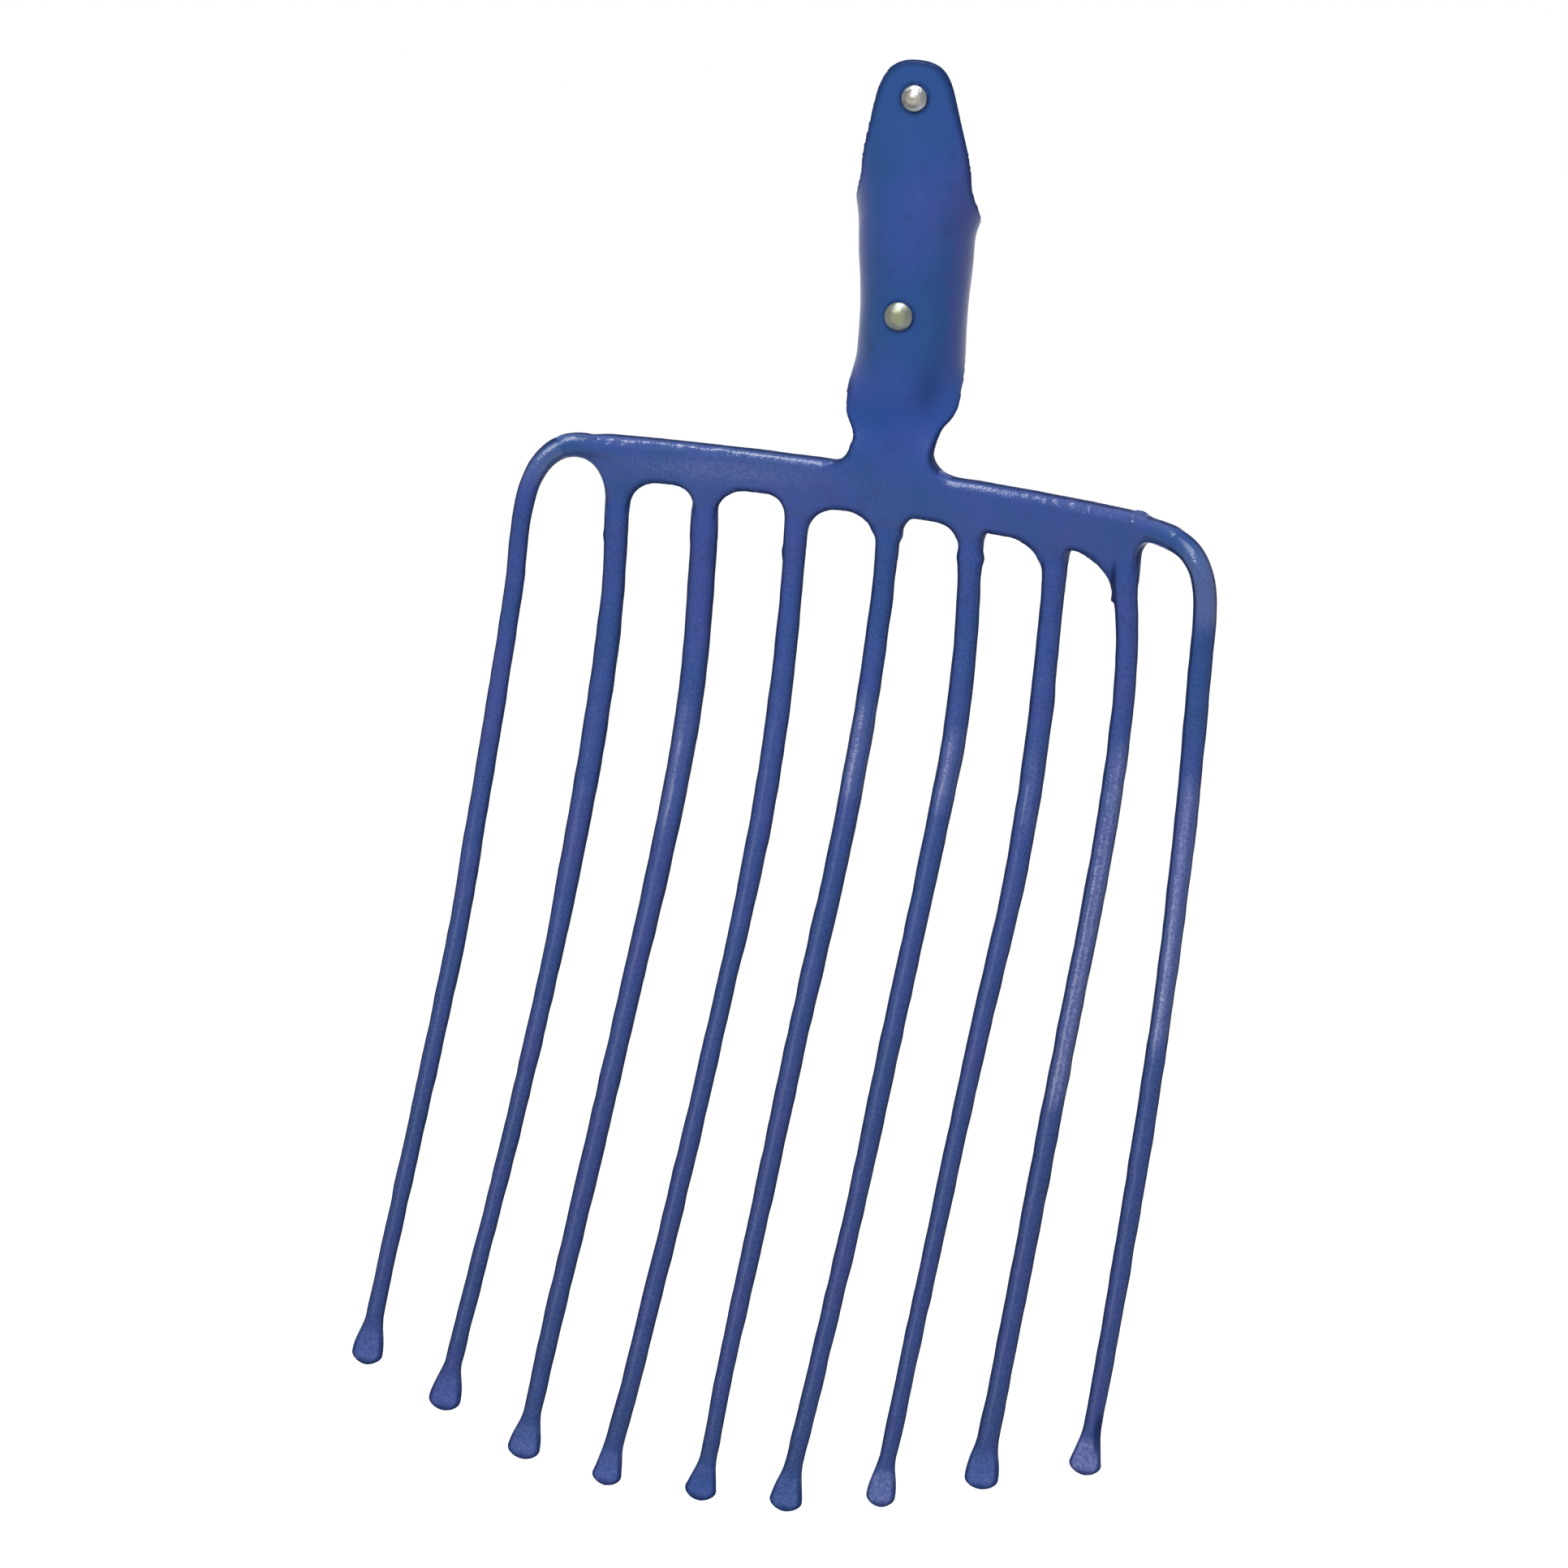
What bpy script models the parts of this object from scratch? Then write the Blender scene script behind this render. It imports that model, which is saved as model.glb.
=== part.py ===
"""Head of a nine-tine stone fork: a forged head plate with a rolled handle socket,
nine round tines with flattened ends, and two rivets.

Metres. The front (hollow, load side) faces -Y, the handle leaves upwards along +Z.
Each shape is laid out on the head's own datum: x across, y back, z up, with z = 0 on the
line where the gaps between the tines end, and y = 0 in the middle of the crossbar.
The datum is then placed so that the world origin is the centre of the socket's mouth.
"""
import math

import bmesh
import bpy

# Handle socket, rolled from the sheet above the neck
MOUTH_Z = 0.1120
MOUTH_RADIUS = 0.0211
MOUTH_FRONT_Y = -0.0025
SEAM_TOP_Z = 0.1080
SEAM_LOW_Z = 0.0800
SEAM_GAP = 0.0070
SHEET = 0.0030
SOCKET_FRONT_Y = -0.0010

# Tongue above the mouth, flattening towards its round end: corners and curve handles of its
# right-hand edge on the flat blank, as half width and height
TONGUE_TOP_Z = 0.1725
TONGUE_END_HANDLES = ((0.0115, TONGUE_TOP_Z), (0.0130, 0.1655))
TONGUE_FLANK = (0.0155, 0.1570)
TONGUE_FLANK_HANDLES = ((0.0178, 0.1470), (0.0211, 0.1380))
TONGUE_FOOT = (0.0226, 0.1285)
MOUTH_RIM_HANDLES = ((0.0258, 0.1175), (0.0390, 0.1110))

# Neck and crossbar
NECK_HALF = 0.0163
NECK_Z = 0.0280
NECK_FILLET_LEFT = 0.0065
NECK_FILLET_RIGHT = 0.0100
CROSSBAR_THICK = 0.0070
THIN_FROM_Z = 0.0420
CROSSBAR_TOP_Z = 0.0199
CROSSBAR_END_LEFT = -0.1085
CROSSBAR_END_RIGHT = 0.1062
CROSSBAR_END_SLOPE = 0.0100
CROSSBAR_END_DROP = 0.0014
CROSSBAR_END_LOW_Z = 0.0106
CROSSBAR_FLAT_HALF = 0.0085
CROSSBAR_DISH_RADIUS = 0.220
CROSSBAR_LEAN = math.radians(5.6)
CROSSBAR_TILT = math.radians(2.2)
ARCH_TOPS_Z = (0.0036, 0.0043, 0.0019, 0.0028, 0.0019, 0.0014)
ARCH_CORNER = 0.0085
STUB_HALF = 0.0042
STUB_END_Z = -0.0150

# Sideways curvature of the rolled sheet against height, and depth of its centre line against height
ROLL_STATIONS = (
    (CROSSBAR_TOP_Z, -1.0 / CROSSBAR_DISH_RADIUS),
    (0.0280, 14.0),
    (0.0340, 34.0),
    (0.0400, 42.0),
    (0.0470, 46.5),
    (0.0530, 50.0),
    (0.0590, 52.5),
    (0.0660, 53.0),
    (0.0800, 54.0),
    (MOUTH_Z, 1.0 / MOUTH_RADIUS),
    (0.1420, 25.0),
    (TONGUE_TOP_Z, 4.0),
)
FRONT_STATIONS = (
    (CROSSBAR_TOP_Z, -CROSSBAR_TOP_Z * math.tan(CROSSBAR_LEAN)),
    (0.0280, -0.0002),
    (0.0360, 0.0),
    (0.0460, SOCKET_FRONT_Y),
    (0.0850, SOCKET_FRONT_Y),
    (MOUTH_Z, MOUTH_FRONT_Y),
    (TONGUE_TOP_Z, SOCKET_FRONT_Y),
)

# Half width of the blank against height, from the neck to where its two edges meet at the back
FLARE_STATIONS = (
    (NECK_Z, NECK_HALF),
    (0.0340, 0.0170),
    (0.0400, 0.0215),
    (0.0465, 0.0250),
    (0.0526, 0.0277),
    (0.0590, 0.0320),
    (0.0700, 0.0440),
)

# Tines, listed from the left end to the right end as seen from the front
TINE_PITCH = 0.0340
TINE_LENGTHS = (0.3485, 0.3614, 0.3750, 0.3795, 0.3790, 0.3779, 0.3701, 0.3570, 0.3449)
ROOT_SHIFTS = (-0.0005, 0.0004, -0.0003, -0.0011, 0.0008, 0.0012, 0.0008, -0.0015, -0.0047)
TIP_SHIFTS = (0.0013, -0.0001, -0.0011, -0.0023, -0.0007, -0.0020, -0.0022, -0.0005, 0.0018)
BOWS = (-0.0010, 0.0018, 0.0004, 0.0028, -0.0014, 0.0008, 0.0004, 0.0001, 0.0014)
BEND_ANGLE = math.radians(32.3)
BEND_LENGTH = 0.2165
TIP_EASING = math.radians(6.5)
TIP_EASING_START = 0.300
TIP_EASING_LENGTH = 0.080
DISH_FADE = 5.2
ROOT_RADIUS = 0.0044
TIP_RADIUS = 0.0033
SLIM_TINE = 0
SLIM_FACTOR = 0.82
SLIM_START = 0.020
SLIM_END = 0.070
FIRST_STEP = 0.006

# Bends of the two outer tines round the head's upper corners, as curve handles across and up
CORNER_DROP = 0.030
LEFT_CORNER = ((-0.1260, 0.0220), (-0.1330, 0.0080))
RIGHT_CORNER = ((0.1287, 0.0075), (0.1347, -0.0045))

# Paddle hammered on the end of each tine: it flares to two corners and ends in a shallow arc
PADDLE_LENGTH = 0.0200
PADDLE_HALF = 0.0059
PADDLE_THICK_HALF = 0.0013
PADDLE_CORNER = 0.82
PADDLE_FLARE_POWER = 1.4
PADDLE_END_NARROWING = 0.93
PADDLE_END_THINNING = 0.3
PADDLE_RINGS = (0.0, 0.2, 0.4, 0.6, 0.76, 0.87, 0.94, 0.98, 1.0)

# Rivets
RIVET_UPPER_Z = 0.1585
RIVET_LOWER_Z = 0.0773
RIVET_HEAD_RADIUS = 0.0054
RIVET_HEAD_HEIGHT = 0.0028
RIVET_SHANK_RADIUS = 0.0025
RIVET_TAIL_RADIUS = 0.0036
RIVET_TAIL_HEIGHT = 0.0015
RIVET_TAIL_TAPER = 0.85
RIVET_HOLE_LENGTH = 0.0120
RIVET_TAIL_GAP = 0.00045
CLEARANCE = 0.0003

# Mesh fineness
STRIP_SOCKET = 0.0042
STRIP_CROSSBAR = 0.0100
ROW_SHOULDER = 0.0045
ROW_SOCKET = 0.0080
ROW_NECK = 0.0030
NECK_ROWS_HALF = 0.0240
EDGE_ROUNDING = 0.0008
ARC_STEPS = 5
TONGUE_END_STEPS = 6
TONGUE_FLANK_STEPS = 4
MOUTH_RIM_STEPS = 7
SHOULDER_ROWS = 6
CORNER_STEPS = 60
RIVET_SIDES = 16
RIVET_HEAD_STEPS = 5
EDGE_ANGLE = math.radians(50)
SMOOTH_ANGLE = math.radians(40)
MERGE_DISTANCE = 0.000001
SCORE_DISTANCE = 0.00001
FLAT_ANGLE = 0.001
TINE_SIDES = 10
TINE_STEP = 0.001
RING_SPACING = 0.016
CORNER_RING_SPACING = 0.004

PAINT_BLUE = (0.043, 0.080, 0.291, 1.0)
RIVET_STEEL = (0.60, 0.60, 0.55, 1.0)


def clear_scene():
    for existing in list(bpy.data.objects):
        bpy.data.objects.remove(existing, do_unlink=True)


def make_collection(name):
    collection = bpy.data.collections.new(name)
    bpy.context.scene.collection.children.link(collection)
    return collection


def make_material(name, colour, roughness, metallic):
    material = bpy.data.materials.new(name)
    material.use_nodes = True
    shader = material.node_tree.nodes["Principled BSDF"]
    shader.inputs["Base Color"].default_value = colour
    shader.inputs["Roughness"].default_value = roughness
    shader.inputs["Metallic"].default_value = metallic
    return material


def add_object(name, mesh, collection, datum, material=None):
    created = bpy.data.objects.new(name, mesh)
    collection.objects.link(created)
    created.parent = datum
    if material is not None:
        mesh.materials.append(material)
    return created


def smooth_step(value):
    value = min(max(value, 0.0), 1.0)
    return value * value * (3.0 - 2.0 * value)


def blend(low, high, start, end, value):
    return low + (high - low) * smooth_step((value - start) / (end - start))


# Shape of the rolled sheet

def through_stations(stations, z):
    """Smooth curve through (height, value) stations, held level beyond the first and the last."""
    if z <= stations[0][0]:
        return stations[0][1]
    if z >= stations[-1][0]:
        return stations[-1][1]
    place = max(index for index, station in enumerate(stations) if station[0] <= z)
    (low_z, low), (high_z, high) = stations[place], stations[place + 1]
    span = high_z - low_z
    slopes = []
    for index in (place, place + 1):
        before = stations[max(index - 1, 0)]
        after = stations[min(index + 1, len(stations) - 1)]
        slopes.append((after[1] - before[1]) / (after[0] - before[0]) * span)
    t = (z - low_z) / span
    rise = smooth_step(t)
    return (low + (high - low) * rise
            + slopes[0] * t * (1.0 - t) ** 2
            - slopes[1] * t * t * (1.0 - t))


def curvature(z):
    """Sideways curvature of the head plate's middle surface at height z, positive round the handle."""
    return through_stations(ROLL_STATIONS, z)


def front_line_y(z):
    """Depth of the head plate's centre line: it leans forward up the crossbar, then runs straight."""
    if z < CROSSBAR_TOP_Z:
        return -math.tan(CROSSBAR_LEAN) * z
    return through_stations(FRONT_STATIONS, z)


def dish_y(x, bend):
    """Depth of a point x across a sheet of sideways curvature bend, flat in its middle."""
    return 0.5 * bend * max(abs(x) - CROSSBAR_FLAT_HALF, 0.0) ** 2


def tilt_z(x):
    """The crossbar isn't quite square to the handle: its left end stands higher."""
    return -math.tan(CROSSBAR_TILT) * x


def bend_blank(u, z):
    """Where a point of the flat blank, u across and z up, lies on the bent head plate."""
    bend = curvature(z)
    if bend > 0.0:
        x = math.sin(bend * u) / bend
        y = (1.0 - math.cos(bend * u)) / bend
    else:
        x = u
        y = dish_y(u, bend)
    tilted = 1.0 - smooth_step((z - CROSSBAR_TOP_Z) / NECK_FILLET_RIGHT)
    return (x, front_line_y(z) + y, z + tilt_z(x) * tilted)


# Outline of the flat blank

def arc(centre_u, centre_z, radius_u, radius_z, start, end):
    points = []
    for index in range(ARC_STEPS + 1):
        angle = math.radians(start + (end - start) * index / ARC_STEPS)
        points.append((centre_u + radius_u * math.cos(angle), centre_z + radius_z * math.sin(angle)))
    return points


def cubic(start, handle_start, handle_end, end, steps):
    points = []
    for index in range(steps + 1):
        t = index / steps
        weights = ((1 - t) ** 3, 3 * t * (1 - t) ** 2, 3 * t * t * (1 - t), t ** 3)
        corners = (start, handle_start, handle_end, end)
        points.append(tuple(sum(w * c[axis] for w, c in zip(weights, corners)) for axis in (0, 1)))
    return points


def tine_x(index):
    """Nominal place of a tine across the head."""
    return (index - (len(TINE_LENGTHS) - 1) / 2) * TINE_PITCH


def stub_x(index):
    return tine_x(index) + ROOT_SHIFTS[index]


def seam_half(z):
    """Half width of the blank where its edges stand the seam's gap apart at the back."""
    return math.pi / curvature(z) - SEAM_GAP / 2


def socket_side():
    """Right-hand edge of the blank from the top of the tongue down to the neck."""
    rim_end = (seam_half(SEAM_TOP_Z), SEAM_TOP_Z)
    points = cubic((0.0, TONGUE_TOP_Z), *TONGUE_END_HANDLES, TONGUE_FLANK, TONGUE_END_STEPS)
    points += cubic(TONGUE_FLANK, *TONGUE_FLANK_HANDLES, TONGUE_FOOT, TONGUE_FLANK_STEPS)[1:]
    points += cubic(TONGUE_FOOT, *MOUTH_RIM_HANDLES, rim_end, MOUTH_RIM_STEPS)[1:]
    for z in spread(SEAM_TOP_Z, SEAM_LOW_Z, ROW_SOCKET)[1:]:
        points.append((seam_half(z), z))
    flare = FLARE_STATIONS + ((SEAM_LOW_Z, seam_half(SEAM_LOW_Z)),)
    for z in spread(SEAM_LOW_Z, NECK_Z, ROW_NECK)[1:]:
        points.append((through_stations(flare, z), z))
    return points


def upper_side(fillet, end_x):
    """One edge of the blank, as if on the right, from the top of the tongue to the crossbar's end."""
    points = socket_side()
    points += arc(NECK_HALF + fillet, CROSSBAR_TOP_Z + fillet, fillet, fillet, 180, 270)
    points.append((end_x - CROSSBAR_END_SLOPE, CROSSBAR_TOP_Z))
    points.append((end_x, CROSSBAR_TOP_Z - CROSSBAR_END_DROP))
    points.append((end_x, CROSSBAR_END_LOW_Z))
    return points


def under_side():
    """Lower edge of the blank from the right-hand end to the left, round every stub and arch."""
    right = len(TINE_LENGTHS) - 2
    shoulder_z = ARCH_TOPS_Z[-1] - ARCH_CORNER
    ledge = CROSSBAR_END_RIGHT - stub_x(right) - STUB_HALF
    points = arc(CROSSBAR_END_RIGHT, shoulder_z, ledge, CROSSBAR_END_LOW_Z - shoulder_z, 90, 180)
    for index in range(right, 0, -1):
        centre = stub_x(index)
        points.append((centre + STUB_HALF, STUB_END_Z))
        points.append((centre - STUB_HALF, STUB_END_Z))
        if index > 1:
            shoulder_z = ARCH_TOPS_Z[index - 2] - ARCH_CORNER
            near = centre - STUB_HALF - ARCH_CORNER
            far = stub_x(index - 1) + STUB_HALF + ARCH_CORNER
            points += arc(near, shoulder_z, ARCH_CORNER, ARCH_CORNER, 0, 90)
            points += arc(far, shoulder_z, ARCH_CORNER, ARCH_CORNER, 90, 180)
    shoulder_z = ARCH_TOPS_Z[0] - ARCH_CORNER
    ledge = stub_x(1) - STUB_HALF - CROSSBAR_END_LEFT
    points += arc(CROSSBAR_END_LEFT, shoulder_z, ledge, CROSSBAR_END_LOW_Z - shoulder_z, 0, 90)
    return points


def blank_outline():
    """Closed outline of the flat blank, from the tongue's top clockwise as seen from the front."""
    right = upper_side(NECK_FILLET_RIGHT, CROSSBAR_END_RIGHT)
    left = upper_side(NECK_FILLET_LEFT, -CROSSBAR_END_LEFT)
    left = [(-u, z) for u, z in reversed(left) if u > 0.0]
    return right + under_side()[1:-1] + left


def flat_blank(outline):
    """The outline filled as a flat sheet in u and z, as one face."""
    curve = bpy.data.curves.new("blank_outline", "CURVE")
    curve.dimensions = "2D"
    curve.fill_mode = "BOTH"
    spline = curve.splines.new("POLY")
    spline.points.add(len(outline) - 1)
    for point, (u, z) in zip(spline.points, outline):
        point.co = (u, z, 0.0, 1.0)
    spline.use_cyclic_u = True
    holder = bpy.data.objects.new("blank_outline", curve)
    bpy.context.scene.collection.objects.link(holder)
    graph = bpy.context.evaluated_depsgraph_get()
    mesh = bpy.data.meshes.new_from_object(holder.evaluated_get(graph))
    bpy.data.objects.remove(holder, do_unlink=True)
    return mesh


def cut_lines(sheet, positions, axis, wanted):
    """Scores straight lines across the faces of the sheet whose middle passes the test."""
    normal = (1.0, 0.0, 0.0) if axis == 0 else (0.0, 1.0, 0.0)
    for position in positions:
        faces = [face for face in sheet.faces if wanted(face.calc_center_median())]
        edges = list({edge for face in faces for edge in face.edges})
        verts = list({vert for face in faces for vert in face.verts})
        point = (position, 0.0, 0.0) if axis == 0 else (0.0, position, 0.0)
        scored = bmesh.ops.bisect_plane(sheet, geom=verts + edges + faces, dist=SCORE_DISTANCE,
                                        plane_co=point, plane_no=normal)
        for part in scored["geom_cut"]:
            if isinstance(part, bmesh.types.BMEdge):
                part.seam = True


def spread(start, end, spacing):
    """Evenly spaced values from start to end, about the spacing apart."""
    count = max(1, round(abs(end - start) / spacing))
    return [start + (end - start) * index / count for index in range(count + 1)]


def score_sheet(sheet):
    """Divides the flat sheet into the cells that stay flat when it is bent."""
    border = NECK_Z + ROW_NECK
    shoulder_top = border + SHOULDER_ROWS * ROW_SHOULDER
    half_width = math.pi * MOUTH_RADIUS
    cut_lines(sheet, [border], 1, lambda middle: True)
    rows = spread(border, shoulder_top, ROW_SHOULDER)[1:-1]
    rows += spread(shoulder_top, TONGUE_TOP_Z, ROW_SOCKET)[:-1]
    cut_lines(sheet, rows, 1, lambda middle: middle.y > border)
    cut_lines(sheet, spread(-half_width, half_width, STRIP_SOCKET), 0, lambda middle: middle.y > border)
    inner = CROSSBAR_FLAT_HALF
    strips = spread(inner, CROSSBAR_END_RIGHT, STRIP_CROSSBAR)[:-1]
    strips += [-u for u in strips]
    cut_lines(sheet, strips, 0, lambda middle: middle.y < border)
    neck_rows = spread(CROSSBAR_TOP_Z, border, ROW_NECK)[:-1]
    cut_lines(sheet, neck_rows, 1,
              lambda middle: middle.y < border and abs(middle.x) < NECK_ROWS_HALF and middle.y > ARCH_CORNER)
    bmesh.ops.dissolve_limit(sheet, angle_limit=FLAT_ANGLE, use_dissolve_boundaries=False,
                             verts=sheet.verts, edges=sheet.edges, delimit={"SEAM"})


def build_head_plate(collection, cutters, datum, paint):
    mesh = flat_blank(blank_outline())
    sheet = bmesh.new()
    sheet.from_mesh(mesh)
    bmesh.ops.remove_doubles(sheet, verts=sheet.verts, dist=MERGE_DISTANCE)
    score_sheet(sheet)
    thickness_layer = sheet.verts.layers.deform.verify()
    for vert in sheet.verts:
        u, z = vert.co.x, vert.co.y
        vert[thickness_layer][0] = 1.0 - smooth_step((z - CROSSBAR_TOP_Z) / (THIN_FROM_Z - CROSSBAR_TOP_Z))
        vert.co = bend_blank(u, z)
    bmesh.ops.recalc_face_normals(sheet, faces=sheet.faces)
    sheet.to_mesh(mesh)
    sheet.free()
    plate = add_object("head_plate", mesh, collection, datum, paint)
    plate.vertex_groups.new(name="thick_end")
    solid = plate.modifiers.new("sheet_thickness", "SOLIDIFY")
    solid.thickness = CROSSBAR_THICK
    solid.offset = 0.0
    solid.vertex_group = "thick_end"
    solid.thickness_vertex_group = SHEET / CROSSBAR_THICK
    edge = plate.modifiers.new("rounded_edges", "BEVEL")
    edge.width = EDGE_ROUNDING
    edge.segments = 1
    edge.limit_method = "ANGLE"
    edge.angle_limit = EDGE_ANGLE
    for name, z in (("rivet_hole_upper", RIVET_UPPER_Z), ("rivet_hole_lower", RIVET_LOWER_Z)):
        cutter_mesh = bpy.data.meshes.new(name)
        drill = bmesh.new()
        bmesh.ops.create_cone(drill, cap_ends=True, segments=RIVET_SIDES, depth=RIVET_HOLE_LENGTH,
                              radius1=RIVET_SHANK_RADIUS + CLEARANCE, radius2=RIVET_SHANK_RADIUS + CLEARANCE)
        drill.to_mesh(cutter_mesh)
        drill.free()
        cutter = add_object(name, cutter_mesh, cutters, datum)
        cutter.location = (0.0, front_line_y(z), z)
        cutter.rotation_euler = (math.pi / 2, 0.0, 0.0)
        cutter.hide_render = True
        cutter.display_type = "WIRE"
        hole = plate.modifiers.new(name, "BOOLEAN")
        hole.operation = "DIFFERENCE"
        hole.solver = "EXACT"
        hole.object = cutter
    return plate


# Tines

def lean_angle(s):
    """How far forward a tine leans at the length s from its root: back a little, then forward."""
    share = min(s / BEND_LENGTH, 1.0)
    bent = -CROSSBAR_LEAN + (BEND_ANGLE + CROSSBAR_LEAN) * (1.0 - (1.0 - share) ** 2)
    return bent - TIP_EASING * smooth_step((s - TIP_EASING_START) / TIP_EASING_LENGTH)


def tine_bend(depth):
    """Sideways curvature of the row of tines at a depth below the crossbar: it fades downwards."""
    return -1.0 / CROSSBAR_DISH_RADIUS + 2.0 * DISH_FADE * depth


def straight_line(index):
    """Points down the middle of a tine from the level where the arches end to its tip."""
    length = TINE_LENGTHS[index]
    steps = round(length / TINE_STEP)
    across = tine_x(index)
    depth = 0.0
    forward = 0.0
    points = []
    for step in range(steps + 1):
        if step:
            angle = lean_angle(length * (step - 0.5) / steps)
            depth += math.cos(angle) * length / steps
            forward += math.sin(angle) * length / steps
        share = step / steps
        sideways = ROOT_SHIFTS[index] * (1.0 - share) + TIP_SHIFTS[index] * share
        sideways += BOWS[index] * 4.0 * share * (1.0 - share)
        points.append((across + sideways, dish_y(across, tine_bend(depth)) - forward, -depth))
    return points


def unit(vector):
    size = math.hypot(*vector)
    return [value / size for value in vector]


def dot(first, second):
    return sum(a * b for a, b in zip(first, second))


def is_outer(index):
    return index in (0, len(TINE_LENGTHS) - 1)


def seat(index):
    """Where a tine is welded on: the middle of its end face and the direction square to the face
    of the stub or crossbar end that it meets."""
    side = 1.0 if tine_x(index) > 0 else -1.0
    if is_outer(index):
        u = CROSSBAR_END_RIGHT if side > 0 else CROSSBAR_END_LEFT
        z = (CROSSBAR_TOP_Z - CROSSBAR_END_DROP + CROSSBAR_END_LOW_Z) / 2
    else:
        u, z = stub_x(index), STUB_END_Z
    slope = -math.copysign(max(abs(u) - CROSSBAR_FLAT_HALF, 0.0), u) / CROSSBAR_DISH_RADIUS
    across = (1.0, slope, -math.tan(CROSSBAR_TILT))
    up = (0.0, -math.tan(CROSSBAR_LEAN), 1.0)
    wanted = [side * value for value in across] if is_outer(index) else [-value for value in up]
    other = up if is_outer(index) else across
    share = dot(wanted, other) / dot(other, other)
    direction = unit([a - share * b for a, b in zip(wanted, other)])
    point = [a + CLEARANCE * b for a, b in zip(bend_blank(u, z), direction)]
    return point, direction


def corner_line(index, start, foot, below):
    """Points round the head's upper corner, from the crossbar's end to the foot of the bend."""
    handles = LEFT_CORNER if index == 0 else RIGHT_CORNER
    path = cubic((start[0], start[2]), handles[0], handles[1], (foot[0], foot[2]), CORNER_STEPS)
    points = []
    for x, z in path[:-1]:
        share = (x - start[0]) / (foot[0] - start[0])
        depth = max(-z, 0.0)
        if z > 0.0:
            lean = -math.tan(CROSSBAR_LEAN) * z
        else:
            level = next(point for point in below if -point[2] >= depth)
            lean = level[1] - dish_y(tine_x(index), tine_bend(-level[2]))
        nominal = x + (tine_x(index) - foot[0]) * share
        points.append((x, dish_y(nominal, tine_bend(depth)) + lean, z))
    return points


def centre_line(index):
    """Whole middle line of a tine from the weld at the head plate to the tip."""
    start, direction = seat(index)
    below = straight_line(index)
    if is_outer(index):
        kept = [point for point in below if -point[2] >= CORNER_DROP]
        return corner_line(index, start, kept[0], below) + kept
    return [tuple(start)] + [point for point in below if point[2] <= start[2] - FIRST_STEP]


def lengths_along(line):
    lengths = [0.0]
    for before, after in zip(line, line[1:]):
        lengths.append(lengths[-1] + math.dist(before, after))
    return lengths


def point_at(line, lengths, s):
    """Point at the length s along a line."""
    place = max(index for index, length in enumerate(lengths[:-1]) if length <= s)
    share = (s - lengths[place]) / (lengths[place + 1] - lengths[place])
    return [a + (b - a) * share for a, b in zip(line[place], line[place + 1])]


def ring_places(index, total):
    """Lengths along a tine at which its rings lie: closer together in a bend and in the paddle."""
    paddle = total - PADDLE_LENGTH
    places = []
    start = FIRST_STEP
    if is_outer(index):
        start = 2.0 * CORNER_DROP
        places += spread(0.0, start, CORNER_RING_SPACING)[:-1]
    else:
        places.append(0.0)
    places += spread(start, paddle, RING_SPACING)[:-1]
    return places + [paddle + PADDLE_LENGTH * share for share in PADDLE_RINGS]


def tine_section(index, s, total):
    """Half width across and half thickness of a tine at the length s from its weld."""
    radius = ROOT_RADIUS + (TIP_RADIUS - ROOT_RADIUS) * s / total
    if index == SLIM_TINE:
        radius *= blend(1.0, SLIM_FACTOR, SLIM_START, SLIM_END, s)
    into = (s - (total - PADDLE_LENGTH)) / PADDLE_LENGTH
    if into <= 0.0:
        return radius, radius
    flare = min(into / PADDLE_CORNER, 1.0)
    half = radius + (PADDLE_HALF - radius) * flare ** PADDLE_FLARE_POWER
    thick = radius + (PADDLE_THICK_HALF - radius) * smooth_step(flare)
    end = max(into - PADDLE_CORNER, 0.0) / (1.0 - PADDLE_CORNER)
    half *= math.sqrt(1.0 - PADDLE_END_NARROWING * end * end)
    return half, thick * (1.0 - PADDLE_END_THINNING * end)


def build_tine(index, collection, datum, paint):
    """A round bar drawn ring by ring along its middle line, each ring square to the line."""
    line = centre_line(index)
    lengths = lengths_along(line)
    total = lengths[-1]
    places = ring_places(index, total)
    points = [point_at(line, lengths, min(s, total)) for s in places]
    skin = bmesh.new()
    rings = []
    for place, (s, point) in enumerate(zip(places, points)):
        before = points[max(place - 1, 0)]
        after = points[min(place + 1, len(points) - 1)]
        along = unit([b - a for a, b in zip(before, after)])
        if place == 0:
            along = seat(index)[1]
        # the width lies square to the line in the upright plane across the head, so a bar bent
        # round a corner doesn't twist; the thickness lies square to both
        outward = unit((-along[2], 0.0, along[0]))
        front = [along[1] * outward[2] - along[2] * outward[1],
                 along[2] * outward[0] - along[0] * outward[2],
                 along[0] * outward[1] - along[1] * outward[0]]
        half, thick = tine_section(index, s, total)
        ring = []
        for side in range(TINE_SIDES):
            angle = 2.0 * math.pi * side / TINE_SIDES
            across = half * math.cos(angle)
            deep = thick * math.sin(angle)
            spot = [p + across * o + deep * f for p, o, f in zip(point, outward, front)]
            ring.append(skin.verts.new(spot))
        rings.append(ring)
    for upper, lower in zip(rings, rings[1:]):
        for side in range(TINE_SIDES):
            following = (side + 1) % TINE_SIDES
            skin.faces.new((upper[side], upper[following], lower[following], lower[side]))
    skin.faces.new(rings[0])
    skin.faces.new(rings[-1])
    bmesh.ops.recalc_face_normals(skin, faces=skin.faces)
    name = "tine_%d" % (index + 1)
    mesh = bpy.data.meshes.new(name)
    skin.to_mesh(mesh)
    skin.free()
    mesh.shade_smooth()
    mesh.set_sharp_from_angle(angle=SMOOTH_ANGLE)
    return add_object(name, mesh, collection, datum, paint)


# Rivets

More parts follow.
